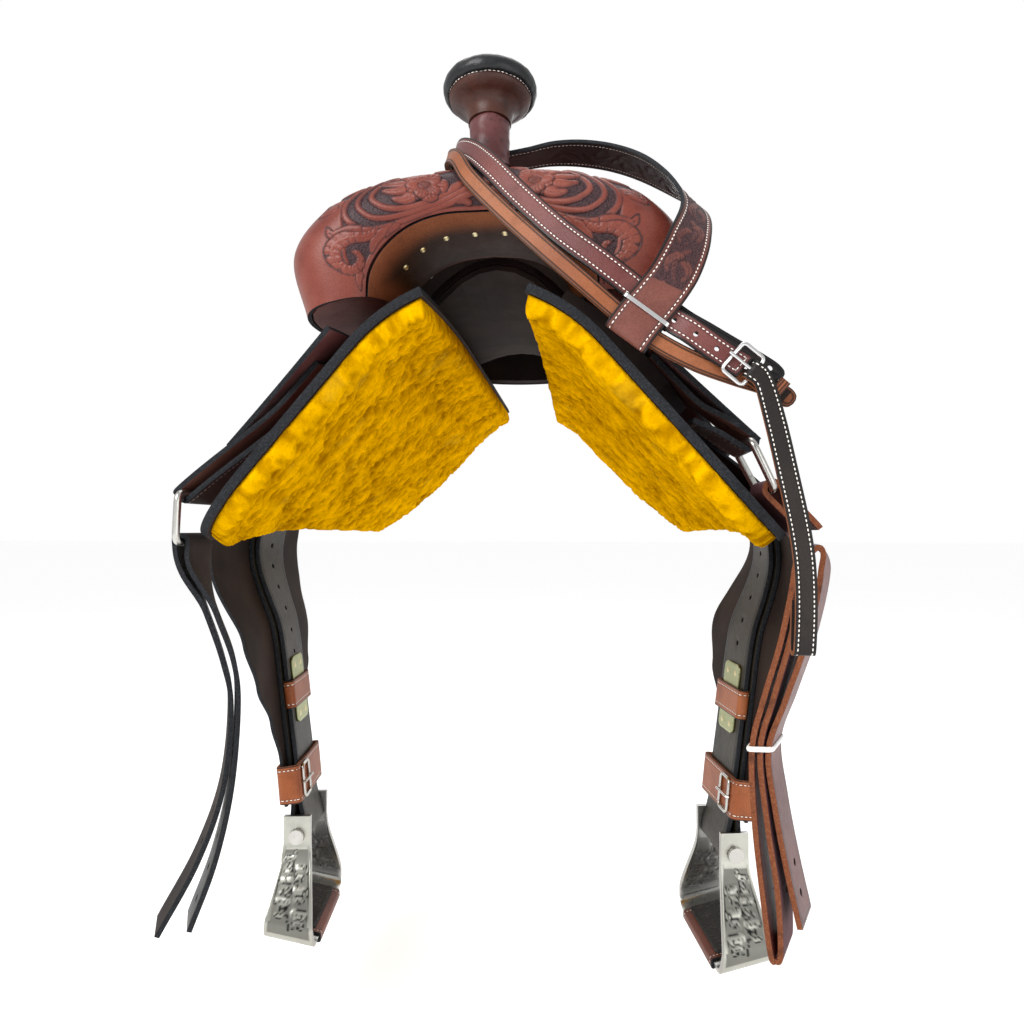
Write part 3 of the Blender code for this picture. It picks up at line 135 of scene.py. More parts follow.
class Finish:
    """Material being made. Its places are the piece's own, in metres, at rest."""

    def __init__(self, name):
        self.material = bpy.data.materials.new(name)
        self.material.use_nodes = True
        self.tree = self.material.node_tree
        self.shader = self.tree.nodes["Principled BSDF"]
        self.place = self.node("TexCoord", output="Object")

    def node(self, kind, settings=None, inputs=None, output=0):
        made = self.tree.nodes.new("ShaderNode" + kind)
        for key, value in (settings or {}).items():
            setattr(made, key, value)
        for key, value in (inputs or {}).items():
            self.feed(made.inputs[key], value)
        return Socket(self, made.outputs[output])

    def feed(self, socket, value):
        if isinstance(value, Socket):
            self.tree.links.new(value.output, socket)
        elif socket.type == "RGBA":
            socket.default_value = (*value, 1.0)
        else:
            socket.default_value = value

    def speckle(self, scale, detail=2.0, rough=0.5):
        """Soft noise from 0 to 1, with scale patches to the metre."""
        return self.node("TexNoise", {}, {"Vector": self.place, "Scale": scale, "Detail": detail, "Roughness": rough})

    def pebbles(self, scale):
        """Distance to the nearest pebble's middle, with scale pebbles to the metre."""
        return self.node("TexVoronoi", {}, {"Vector": self.place, "Scale": scale})

    def blend(self, share, first, second):
        """Colour that goes from first to second with the share."""
        return self.node("Mix", {"data_type": "RGBA"}, {0: share, 6: first, 7: second}, output=2)

    def flat(self):
        """Place along a piece's outline and distance from it, in metres."""
        run = self.node("SeparateXYZ", {}, {0: self.node("UVMap", {"uv_map": "outline"})})
        return run, Socket(self, run.output.node.outputs[1])

    def value(self, name):
        """Number that the mesh keeps for each of its points under this name."""
        return self.node("Attribute", {"attribute_name": name}, {}, output="Fac")

    def show(self, colour, roughness, height=None, metallic=None, **plain):
        """What the surface shows. height is in metres; plain values go to the shader's own sockets."""
        self.feed(self.shader.inputs["Base Color"], colour)
        self.feed(self.shader.inputs["Roughness"], roughness)
        if metallic is not None:
            self.feed(self.shader.inputs["Metallic"], metallic)
        for name, value in plain.items():
            self.feed(self.shader.inputs[name.replace("_", " ").title().replace("Ior", "IOR")], value)
        if height is not None:
            bump = self.node("Bump", {}, {"Height": height, "Distance": 1.0, "Strength": 1.0})
            self.tree.links.new(bump.output, self.shader.inputs["Normal"])
        return self.material


floor_finish = Finish("studio_floor")
floor_finish.show((0.93, 0.93, 0.93), floor_finish.speckle(3.0) * 0.1 + 0.75, emission_color=(1.0, 1.0, 1.0),
                  emission_strength=0.3)
floor_mesh = bpy.data.meshes.new("floor")
floor_mesh.from_pydata([(x * FLOOR_HALF, y * FLOOR_HALF, FLOOR_Z) for x, y in ((-1, -1), (1, -1), (1, 1), (-1, 1))], [],
                       [(0, 1, 2, 3)])
floor_mesh.materials.append(floor_finish.material)
floor = bpy.data.objects.new("floor", floor_mesh)
bpy.context.scene.collection.objects.link(floor)


# Skirts: two thick panels of dark red harness leather, one each side, with blackened edges, one row of white
# stitching and pressed grooves. Each is lined with mustard sheepskin, sewn on pile inwards.
SIDES = (("near", 1), ("off", -1))
FRONT_Y = -0.300
REAR_Y = 0.330
MID_Y = -0.055
RIDGE_X = 0.040
RIDGE_SLOPE = radians(22)
SIDE_SLOPE = radians(45)
FRONT_STEEPER = radians(4)
REAR_STEEPER = radians(2)
RIDGE_ROUND = 0.070
FRONT_DROP = 0.015
DRAPE_GAP = 0.0006
SKIRT_LENGTH = 0.275
SKIRT_THICK = 0.007
FRONT_CORNER = 0.080
REAR_CORNER = 0.150
CORNER_SHARE = 0.995
FLEECE_THICK = 0.019
FLEECE_INSET = 0.003
OUTLINE_STEP = 0.002
PIN_DEPTH = 0.030

BURGUNDY = (0.135, 0.024, 0.015)
BURGUNDY_DEEP = (0.050, 0.008, 0.006)
BURGUNDY_PALE = (0.23, 0.062, 0.042)
EDGE_BLACK = (0.005, 0.005, 0.006)
THREAD = (0.82, 0.78, 0.72)
CUT_DARK = (0.007, 0.003, 0.004)
CUT_PALE = (0.050, 0.022, 0.026)


def mix(a, b, t):
    """Number or point on the way from a to b."""
    return a + (b - a) * t


def ramp(t, low, high):
    """Smooth step from 0 at low to 1 at high."""
    x = min(1.0, max(0.0, (t - low) / (high - low)))
    return x * x * (3 - 2 * x)


def drape(s, y, rise, side=1):
    """Point that lies rise above the skirts' outer face, s down from the ridge."""
    if y < MID_Y:
        ahead = ((MID_Y - y) / (MID_Y - FRONT_Y)) ** 2
        low_slope = SIDE_SLOPE + FRONT_STEEPER * ahead
        ridge_z = -FRONT_DROP * ahead
    else:
        low_slope = SIDE_SLOPE + REAR_STEEPER * ((y - MID_Y) / (REAR_Y - MID_Y)) ** 2
        ridge_z = 0.0
    bend = (low_slope - RIDGE_SLOPE) / RIDGE_ROUND
    slope = min(low_slope, RIDGE_SLOPE + bend * s)
    straight = max(0.0, s - RIDGE_ROUND)
    x = RIDGE_X + (sin(slope) - sin(RIDGE_SLOPE)) / bend + straight * cos(low_slope) + rise * sin(slope)
    z = ridge_z + (cos(slope) - cos(RIDGE_SLOPE)) / bend - straight * sin(low_slope) + rise * cos(slope)
    return Vector((side * x, y, z))


def rounded_end(edge, low, corner, inwards):
    """Edge line that stays at edge and then curves inwards over the last stretch before low."""

    def line(s):
        x = max(0.0, (s - (low - corner)) / corner)
        return edge + inwards * corner * (1 - sqrt(max(0.0, 1 - x * x * CORNER_SHARE)))

    return line


def drape_spot(side, top, low, front, rear, rise):
    """Sheet on the horse's back from s = top to low, between front(s) and rear(s)."""

    def spot(u, v):
        s = mix(top, low, v)
        return drape(s, mix(front(s), rear(s), u), rise(s) if callable(rise) else rise, side)

    return spot


def grid_mesh(cols, rows, spot, ring):
    """Grid of faces on spot(u, v); a ring's last column is its first."""
    bm = bmesh.new()
    lines = [[bm.verts.new(spot(i / cols, j / rows)) for i in range(cols + (not ring))] for j in range(rows + 1)]
    for j in range(rows):
        for i in range(cols):
            k = (i + 1) % cols if ring else i + 1
            bm.faces.new((lines[j][i], lines[j][k], lines[j + 1][k], lines[j + 1][i]))
    return bm


def add_outline(bm):
    """UV map "outline": how far along the sheet's edge a point lies, and how far in from that edge."""
    layer = bm.loops.layers.uv.new("outline")
    edge_verts = {}
    for edge in bm.edges:
        if edge.is_boundary:
            a, b = edge.verts
            edge_verts.setdefault(a, []).append(b)
            edge_verts.setdefault(b, []).append(a)
    runs = {}
    lengths = []
    for start in list(edge_verts):
        if start in runs:
            continue
        run = 0.0
        here, last = start, None
        while here not in runs:
            runs[here] = (run, len(lengths))
            ahead = [v for v in edge_verts[here] if v is not last and v not in runs]
            if not ahead:
                break
            run += (ahead[0].co - here.co).length
            last, here = here, ahead[0]
        lengths.append(run + (here.co - start.co).length)
    marks = []
    for edge in bm.edges:
        if not edge.is_boundary:
            continue
        a, b = edge.verts
        (ra, loop_a), (rb, _) = runs[a], runs[b]
        if abs(rb - ra) > lengths[loop_a] / 2:
            ra, rb = (ra + lengths[loop_a], rb) if ra < rb else (ra, rb + lengths[loop_a])
        count = max(1, ceil((b.co - a.co).length / OUTLINE_STEP))
        marks += [(a.co.lerp(b.co, k / count), mix(ra, rb, k / count)) for k in range(count + 1)]
    tree = kdtree.KDTree(len(marks))
    for k, (place, _) in enumerate(marks):
        tree.insert(place, k)
    tree.balance()
    found = {}
    for vert in bm.verts:
        _, k, far = tree.find(vert.co)
        found[vert] = (marks[k][1], far)
    longest = max(lengths)
    for face in bm.faces:
        base = found[face.loops[0].vert][0]
        for loop in face.loops:
            run, far = found[loop.vert]
            if abs(run - base) > longest / 2:
                run += longest if run < base else -longest
            loop[layer].uv = (run, far)


def stand(place, way):
    """Matrix that takes the origin to a place and its Z to a direction."""
    return Matrix.Translation(place) @ way.to_track_quat("Z", "Y").to_matrix().to_4x4()


def punches(name, holes):
    """Cutter of short round pins, one for each (place, direction, radius)."""
    bm = bmesh.new()
    for place, way, radius in holes:
        bmesh.ops.create_cone(bm, cap_ends=True, segments=14, radius1=radius, radius2=radius, depth=PIN_DEPTH,
                              matrix=stand(place, way))
    data = bpy.data.meshes.new(name + "_punches")
    bm.to_mesh(data)
    bm.free()
    cutter = bpy.data.objects.new(name + "_punches", data)
    bpy.context.scene.collection.objects.link(cutter)
    return cutter


def put(name, bm, finishes, body, sharp=38, shell=None, even=True, round_by=0.0, holes=()):
    """Dressed piece from a mesh, riding on its body. One with a CAD node's name stands for that node.

    It is thickened to shell, punched, its edges rounded, and shaded smooth up to the sharp angle in degrees.
    """
    data = bpy.data.meshes.new(name)
    if shell is None:
        bmesh.ops.recalc_face_normals(bm, faces=bm.faces)
    bm.to_mesh(data)
    bm.free()
    for finish in finishes:
        data.materials.append(finish)
    obj = bpy.data.objects.new(name, data)
    bpy.context.scene.collection.objects.link(obj)
    if shell is not None:
        thick = obj.modifiers.new("thickness", "SOLIDIFY")
        thick.thickness = shell
        thick.offset = 0
        thick.use_even_offset = even
        thick.material_offset = min(1, len(finishes) - 1)
        thick.material_offset_rim = min(2, len(finishes) - 1)
    cutter = punches(name, holes) if holes else None
    if cutter:
        knife = obj.modifiers.new("holes", "BOOLEAN")
        knife.operation = "DIFFERENCE"
        knife.object = cutter
    if round_by:
        edge = obj.modifiers.new("round", "BEVEL")
        edge.width = round_by
        edge.segments = 2
        edge.limit_method = "ANGLE"
        edge.angle_limit = radians(50)
    graph = bpy.context.evaluated_depsgraph_get()
    data = bpy.data.meshes.new_from_object(obj.evaluated_get(graph), preserve_all_data_layers=True, depsgraph=graph)
    obj.modifiers.clear()
    obj.data = data
    data.shade_smooth()
    data.set_sharp_from_angle(angle=radians(sharp))
    if cutter:
        bpy.data.objects.remove(cutter)
    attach(obj, body)
    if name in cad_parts:
        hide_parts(name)
    return obj


def leather_sheet(name, cols, rows, spot, thick, finishes, body, flip=False, ring=False, carve=None,
                  round_by=None, holes=()):
    """Leather piece of even thickness round its middle surface spot(u, v): its face, back and edge finishes."""
    bm = grid_mesh(cols, rows, spot, ring)
    add_outline(bm)
    if flip:
        bmesh.ops.reverse_faces(bm, faces=bm.faces)
    if carve:
        carve(bm)
    round_by = thick * 0.25 if round_by is None else round_by
    return put(name, bm, finishes, body, shell=thick, even=not carve, round_by=round_by, holes=holes)


def stitch_marks(run, far, inset, pitch):
    """Thread and its groove along an outline, inset from the edge: two masks from 0 to 1."""
    off_line = abs(far - inset)
    along = abs((run / pitch) % 1.0 - 0.5) * pitch
    thread = (along / (pitch * 0.33)) ** 2 + (off_line / 0.00046) ** 2
    return 1 - thread.ease(0.7, 1.15), 1 - off_line.ease(0.0007, 0.0016)


def leather(name, colour, deep, pale, grain=1.0, stitch=(), groove=(), edge=0.0016, rough=0.42, carved=False,
            coat=0.12, pitch=0.0042, mottle=1.0, inner=None):
    """Tanned leather: pores and creases, mottled dye, and burnished edges edge wide.

    stitch and groove list distances in from the edge. coat is the gloss of its wax. carved leather has a dyed, stippled
    ground. inner is (start, end, colour) of a colour that takes over away from the edges: painted shade deepening into
    a recess.
    """
    finish = Finish(name)
    run, far = finish.flat()
    pores = finish.pebbles(760.0)
    creases = finish.speckle(190.0, 4.0, 0.6)
    cloud = finish.speckle(11.0, 3.0, 0.55)
    patch = finish.speckle(48.0, 3.0, 0.6)
    tone = finish.blend(cloud.ease(0.36, 0.66) * 0.85 * mottle, colour, pale)
    tone = finish.blend(patch.ease(0.50, 0.78) * 0.40 * mottle, tone, deep)
    tone = finish.blend(pores.ease(0.28, 0.75) * 0.22, tone, deep)
    # inner paints shade: the colour darkens away from the edges, as if deep in a recess.
    if inner:
        tone = finish.blend(far.ease(*inner[:2]) * 0.9, tone, inner[2])
    height = creases * 0.00016 * grain - pores * 0.00010 * grain
    roughness = creases * 0.16 + patch * 0.10 + (rough - 0.13)
    if edge:
        tone = finish.blend((1 - far.ease(edge * 0.6, edge * 1.9)) * 0.93, tone, EDGE_BLACK)
    for inset in groove:
        line = 1 - abs(far - inset).ease(0.0003, 0.0009)
        tone = finish.blend(line * 0.8, tone, EDGE_BLACK)
        height = height - line * 0.00045
    if carved:
        cut = finish.value("carved")
        tone = finish.blend(cut, tone, finish.blend(pores.ease(0.2, 0.6), CUT_DARK, CUT_PALE))
        height = height + cut * pores * 0.0005
        roughness = roughness + cut * 0.2
    for inset in stitch:
        thread, sunk = stitch_marks(run, far, inset, pitch)
        tone = finish.blend(sunk * 0.35, tone, deep)
        tone = finish.blend(thread, tone, THREAD)
        height = height - sunk * 0.00035 + thread * 0.00055
    return finish.show(tone, roughness, height, coat_weight=coat * 0.35, coat_roughness=0.3, specular_ior_level=0.22)


def raw_edge(name, colour, fuzz):
    """Cut edge of thick leather: dyed dark, rubbed, with its fibres standing a little."""
    finish = Finish(name)
    fibres = finish.speckle(620.0, 5.0, 0.7)
    streaks = finish.speckle(70.0, 3.0)
    tone = finish.blend(fibres.ease(0.42, 0.72), colour, fuzz)
    tone = finish.blend(streaks.ease(0.55, 0.75) * 0.5, tone, EDGE_BLACK)
    return finish.show(tone, fibres * 0.2 + 0.65, fibres * 0.00035, specular_ior_level=0.2)


def flesh(name, colour, pale):
    """Flesh side of leather: matt, with a short nap."""
    finish = Finish(name)
    nap = finish.speckle(420.0, 5.0, 0.7)
    cloud = finish.speckle(16.0, 3.0)
    tone = finish.blend(cloud.ease(0.35, 0.7) * 0.6, colour, pale)
    tone = finish.blend(nap.ease(0.5, 0.8) * 0.5, tone, pale)
    return finish.show(tone, nap * 0.2 + 0.68, nap * 0.00022, specular_ior_level=0.2)


skirt_face = leather("skirt_leather", BURGUNDY, BURGUNDY_DEEP, BURGUNDY_PALE, stitch=(0.0075,),
                     groove=(0.0115, 0.0135, 0.030, 0.032, 0.046, 0.048), edge=0.002)
black_edge = raw_edge("black_edge", (0.008, 0.009, 0.011), (0.030, 0.034, 0.040))
dark_flesh = flesh("dark_flesh_side", (0.014, 0.009, 0.008), (0.045, 0.030, 0.025))
for name, side in SIDES:
    low = SKIRT_LENGTH
    spot = drape_spot(side, 0.0, low, rounded_end(FRONT_Y, low, FRONT_CORNER, 1),
                      rounded_end(REAR_Y, low, REAR_CORNER, -1), -SKIRT_THICK / 2)
    leather_sheet("skirt_" + name, 150, 90, spot, SKIRT_THICK, (skirt_face, dark_flesh, black_edge), "saddle",
                  flip=side > 0, round_by=0.0016)


fleece_wool = Finish("mustard_fleece")
locks = fleece_wool.speckle(75.0, 4.0, 0.65)
fibres = fleece_wool.speckle(900.0, 4.0, 0.75)
# Painted shade: the wool is darker where its pile is low, between the locks, and lighter where it stands high.
tone = fleece_wool.blend(fleece_wool.value("pile").ease(0.15, 0.9), (0.30, 0.125, 0.0), (0.95, 0.50, 0.0))
# Painted light and shade that follow the bumps: lock tops brighter, hollows among the locks and fibres darker; the last
# tone is random.
for share, colour in ((locks.ease(0.52, 0.72) * 0.5, (1.0, 0.54, 0.0)),
                      (locks.ease(0.47, 0.30) * 0.6, (0.44, 0.20, 0.0)),
                      (fibres.ease(0.45, 0.25) * 0.4, (0.36, 0.16, 0.0)),
                      (fleece_wool.speckle(23.0, 3.0).ease(0.60, 0.72) * 0.30, (0.40, 0.26, 0.02))):
    tone = fleece_wool.blend(share, tone, colour)
fleece_finish = fleece_wool.show(tone, 0.93, locks * 0.0022 - fleece_wool.pebbles(330.0) * 0.0011 + fibres * 0.0011,
                                 specular_ior_level=0.0)


def pile_at(place):
    """How far the wool stands at a place, from 0 to 1: locks a thumb wide, each of smaller curls."""
    big = noise.noise(place * 34.0) * 0.5 + 0.5
    small = 1 - abs(noise.noise(place * 95.0 + Vector((7, 3, 1)))) * 1.7
    fine = noise.noise(place * 260.0 + Vector((1, 9, 4))) * 0.5 + 0.5
    return min(1.0, max(0.0, 0.50 * big + 0.36 * small + 0.24 * fine - 0.06))


def tight(x):
    """Rows that crowd towards both ends of the sheet."""
    return 0.5 - 0.5 * cos(pi * x) if 0 < x < 1 else float(x)


PILE = 0.0085
FLEECE_SHOULDER = 0.010
TUFT_REACH = 0.006
FLEECE_COLS = 170
FLEECE_ROWS = 100
for name, side in SIDES:
    low = SKIRT_LENGTH - FLEECE_INSET
    front = rounded_end(FRONT_Y + FLEECE_INSET, low, FRONT_CORNER, 1)
    rear = rounded_end(REAR_Y - FLEECE_INSET, low, REAR_CORNER, -1)
    top = -SKIRT_THICK - DRAPE_GAP
    bm = bmesh.new()
    pile = bm.verts.layers.float.new("pile")
    backs, fronts = [], []
    for j in range(FLEECE_ROWS + 1):
        s = mix(FLEECE_INSET, low, mix(j / FLEECE_ROWS, tight(j / FLEECE_ROWS), 0.6))
        backs.append([])
        fronts.append([])
        for i in range(FLEECE_COLS + 1):
            y = mix(front(s), rear(s), mix(i / FLEECE_COLS, tight(i / FLEECE_COLS), 0.6))
            ends = min(y - front(s), rear(s) - y, s - FLEECE_INSET, low - s)
            full = sqrt(max(0.0, 1 - (1 - min(1.0, ends / FLEECE_SHOULDER)) ** 2))
            place = drape(s, y, top, side)
            fluff = pile_at(place)
            point = drape(s, y, top - FLEECE_THICK * (0.30 + 0.70 * full) + PILE * (1 - fluff), side)
            point.y += (0.5 - fluff) * 0.004 * (1 - min(1.0, ends / TUFT_REACH))
            # The back layer keeps less pile, so the fleece's back and cut edges take more of the dark painted shade.
            for line, spot, deep in ((fronts[-1], point, fluff), (backs[-1], place, fluff * 0.7)):
                line.append(bm.verts.new(spot))
                line[-1][pile] = deep
    for j in range(FLEECE_ROWS):
        for i in range(FLEECE_COLS):
            bm.faces.new((fronts[j][i], fronts[j][i + 1], fronts[j + 1][i + 1], fronts[j + 1][i]))
            bm.faces.new((backs[j][i], backs[j + 1][i], backs[j + 1][i + 1], backs[j][i + 1]))
    for i in range(FLEECE_COLS):
        bm.faces.new((backs[0][i], backs[0][i + 1], fronts[0][i + 1], fronts[0][i]))
        bm.faces.new((fronts[-1][i], fronts[-1][i + 1], backs[-1][i + 1], backs[-1][i]))
    for j in range(FLEECE_ROWS):
        bm.faces.new((backs[j + 1][0], backs[j][0], fronts[j][0], fronts[j + 1][0]))
        bm.faces.new((fronts[j + 1][-1], fronts[j][-1], backs[j][-1], backs[j + 1][-1]))
    put("fleece_" + name, bm, (fleece_finish,), "saddle", sharp=89)


# Tree: fork, bars, cantle board and ground seat, which keep the shapes of their solids. The fork is covered in dark
# leather; the bars, cantle board and ground seat are painted near black as shade of the hollow under the seat. They
# show only as slivers between the outer pieces.
def dress(node, material):
    """Gives a CAD node that keeps its own shape its finish."""
    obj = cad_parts[node]
    obj.data.materials.clear()
    obj.data.materials.append(material)


# Near-black painted shade: the tree pieces seen through the gullet stand in for the dark hollow under the seat.
tree_shade_cover = flesh("tree_painted_shade_leather", (0.010, 0.006, 0.005), (0.030, 0.018, 0.014))
for node in ("tree_bar_near", "tree_bar_off", "tree_cantle", "ground_seat"):
    dress(node, tree_shade_cover)
dress("tree_fork", leather("fork_leather", (0.075, 0.016, 0.011), (0.030, 0.006, 0.004), (0.12, 0.032, 0.022),
                           edge=0.0))


# Swell: damp leather stretched over the fork, carved in front with flowers, leaves and scrolls on a stippled
# ground dyed black. Its shoulders stay smooth. The gullet's lip is a brown roll, nailed underneath, with painted shade
# that darkens it to near black away from its edges.
SWELL_Y = -0.215
SWELL_HALF_DEPTH = 0.053
COVER_THICK = 0.0035
GULLET = [Vector(p) for p in ((0, 0.045), (0.026, 0.043), (0.047, 0.034), (0.062, 0.019), (0.070, 0.005),
                              (0.0768, -0.0064))]
OUTLINE = [Vector(p) for p in ((0, 0.100), (0.047, 0.096), (0.092, 0.088), (0.134, 0.069), (0.162, 0.032),
                               (0.150, -0.020))]
LIP_ANGLE = radians(120)
LIP_GAP = radians(3)
LIP_REACH = 0.052
CARVED_TOP = 0.118
SWELL_COLS = 300
SWELL_ROWS = 440
DENSE = 0.45
NAIL_ANGLE = radians(156)
RIM_WIDTH = 0.00085
RIM_DEPTH = 0.0006


def spline_at(points, t):
    """Point at t from 0 to 1 on the smooth curve through evenly counted points."""
    place = min(max(t, 0.0), 1.0) * (len(points) - 1)
    i = min(int(place), len(points) - 2)
    x = place - i
    p1, p2 = points[i], points[i + 1]
    p0 = points[i - 1] if i else p1 * 2 - p2
    p3 = points[i + 2] if i + 2 < len(points) else p2 * 2 - p1
    return (p1 * (1 - 3 * x * x + 2 * x ** 3) + p2 * (3 * x * x - 2 * x ** 3)
            + (p2 - p0) * (0.5 * (x - 2 * x * x + x ** 3)) + (p3 - p1) * (0.5 * (x ** 3 - x * x)))


def swell_point(across, angle):
    """Point of the swell's outer surface: across from -1 to 1, angle 0 on top and pi in the gullet."""
    side = -1 if across < 0 else 1
    inner = spline_at(GULLET, abs(across))
    outer = spline_at(OUTLINE, abs(across))
    depth = SWELL_HALF_DEPTH + 0.006 * sin(pi * abs(across))
    up = abs(cos(angle)) ** 0.8 * (1 if cos(angle) > 0 else -1)
    ahead = abs(sin(angle)) ** 0.9 * (1 if sin(angle) > 0 else -1)
    flat = (inner + outer) / 2 + (outer - inner) / 2 * up
    return Vector((side * flat.x, SWELL_Y - depth * ahead, flat.y))


def lifted(spot, rise, step=0.004):
    """Surface rise above spot(u, v), on the side of its u direction crossed with its v direction."""

    def high(u, v):
        normal = (spot(u + step, v) - spot(u - step, v)).cross(spot(u, v + step) - spot(u, v - step)).normalized()
        return spot(u, v) + normal * (rise(u, v) if callable(rise) else rise)

    return high


class Carving:
    """Relief of carved leather on a plan in metres: height over the sunk ground, and where the ground is."""

    def __init__(self, p, q):
        self.p = np.asarray(p, float)
        self.q = np.asarray(q, float)
        self.height = np.zeros_like(self.p)
        self.ink = np.zeros_like(self.p)
        self.leaf = np.zeros_like(self.p)

    def raise_to(self, inside, height, ink):
        """Lays one motif over what is there, with its outline cut deep and dark."""
        over = inside > 0
        self.height = np.where(over, height, self.height)
        self.ink = np.where(over, ink, self.ink)
        self.leaf = np.where(over, 1.0, self.leaf)
        rim = np.exp(-(inside / RIM_WIDTH) ** 2)
        self.ink = np.maximum(self.ink, np.clip(rim * 1.25, 0, 1) * (inside > -0.0012))
        self.height = self.height - RIM_DEPTH * rim

    def frond(self, points, width, lobes=0, veins=True, taper=0.55, ruffle=0.0, stem=False):
        """Leaf or stem along a curve: widest early, lobed on its edges, with a cut middle vein."""
        line = [Vector(p) for p in points]
        steps = 30
        spine = np.array([spline_at(line, k / steps) for k in range(steps + 1)])
        ahead = np.gradient(spine, axis=0)
        reach = 0.55 * np.linalg.norm(ahead, axis=1).max()
        ahead /= np.linalg.norm(ahead, axis=1)[:, None] + 1e-12
        best = np.full(self.p.shape, 1e9)
        t = np.zeros_like(self.p)
        across = np.zeros_like(self.p)
        for k, (place, way) in enumerate(zip(spine, ahead)):
            dp, dq = self.p - place[0], self.q - place[1]
            along, aside = dp * way[0] + dq * way[1], dp * -way[1] + dq * way[0]
            far = aside ** 2 + np.maximum(np.abs(along) - reach, 0) ** 2 + 1e-4 * along ** 2
            near = far < best
            best = np.where(near, far, best)
            t = np.where(near, (k + np.clip(along / reach / 2, -0.5, 0.5)) / steps, t)
            across = np.where(near, aside, across)
        t = np.clip(t, 0, 1)
        half = width * (1 - 0.5 * t) if stem else width * np.sin(pi * t ** taper) ** 0.6 * (1 - 0.25 * t) + 0.0004
        if lobes:
            half = half * (0.80 + 0.26 * np.abs(np.sin(pi * lobes * t)))
        inside = half - np.maximum(np.abs(across), np.sqrt(best) * 0.999)
        share = np.clip(np.abs(across) / np.maximum(half, 1e-5), 0, 1)
        height = 0.0004 * (1 - share ** 4) + 0.0003
        ink = np.zeros_like(t)
        if veins:
            vein = np.exp(-(across / 0.00045) ** 2) * (t > 0.25) * (t < 0.80)
            height = height - 0.0005 * vein
            ink = np.maximum(ink, vein)
        if lobes:
            slant = np.sin(2 * pi * lobes * t - 2.2 * share)
            nick = np.clip(slant - 0.80, 0, 1) * 5 * (share > 0.25) * (share < 0.92)
            height = height - 0.0004 * nick
            ink = np.maximum(ink, 0.85 * nick)
        if ruffle:
            rib = 0.5 + 0.5 * np.cos(2 * pi * t / ruffle)
            height = height - 0.0004 * rib * (share > 0.15)
            ink = np.maximum(ink, np.clip(rib - 0.86, 0, 1) * 6.0 * (share > 0.25))
        self.raise_to(inside, height, np.clip(ink, 0, 1))

    def flower(self, p, q, radius, petals, turn):
        """Open flower: pointed petals with cupped edges round a seeded middle."""
        dp, dq = self.p - p, self.q - q
        far = np.hypot(dp, dq)
        angle = np.arctan2(dq, dp) + turn
        for layer, (size, shift) in enumerate(((1.0, 0.0), (0.74, pi / petals))):
            wave = np.abs(np.cos((angle + shift) * petals / 2))
            edge = radius * size * (0.62 + 0.38 * wave ** 0.6)
            inside = edge - far
            share = far / np.maximum(edge, 1e-6)
            height = 0.0006 + 0.0012 * share * (0.4 + 0.6 * wave) + 0.0004 * layer
            rays = np.abs(np.sin((angle + shift) * petals * 2.5)) ** 8
            ink = np.clip(0.85 * rays * (share > 0.35) * (share < 0.86), 0, 1)
            crease = np.exp(-((wave - 0.05) / 0.10) ** 2)
            self.raise_to(inside, height - 0.0004 * rays, np.maximum(ink, crease * 0.85))
        dots = 0.5 + 0.5 * np.sin(self.p * 3600) * np.sin(self.q * 3600)
        self.raise_to(radius * 0.26 - far, 0.0016 - 0.0009 * (1 - dots), np.clip(1.1 - dots * 1.6, 0, 1))

    def curl(self, p, q, radius, turn, way, width, turns, ruffle):
        """Ruffled scroll that winds in on itself."""
        points = []
        for k in range(11):
            share = k / 10
            angle = turn + way * 2 * pi * turns * share
            far = radius * (1 - 0.80 * share)
            points.append((p + far * cos(angle), q + far * sin(angle)))
        self.frond(points, width, ruffle=ruffle, veins=False, taper=0.45)


def outline_length(across):
    """Length along the middle of the swell's face, from the centre plane."""
    total = 0.0
    last = (GULLET[0] + OUTLINE[0]) / 2
    for k in range(1, 21):
        here = (spline_at(GULLET, abs(across) * k / 20) + spline_at(OUTLINE, abs(across) * k / 20)) / 2
        total += (here - last).length
        last = here
    return total if across > 0 else -total


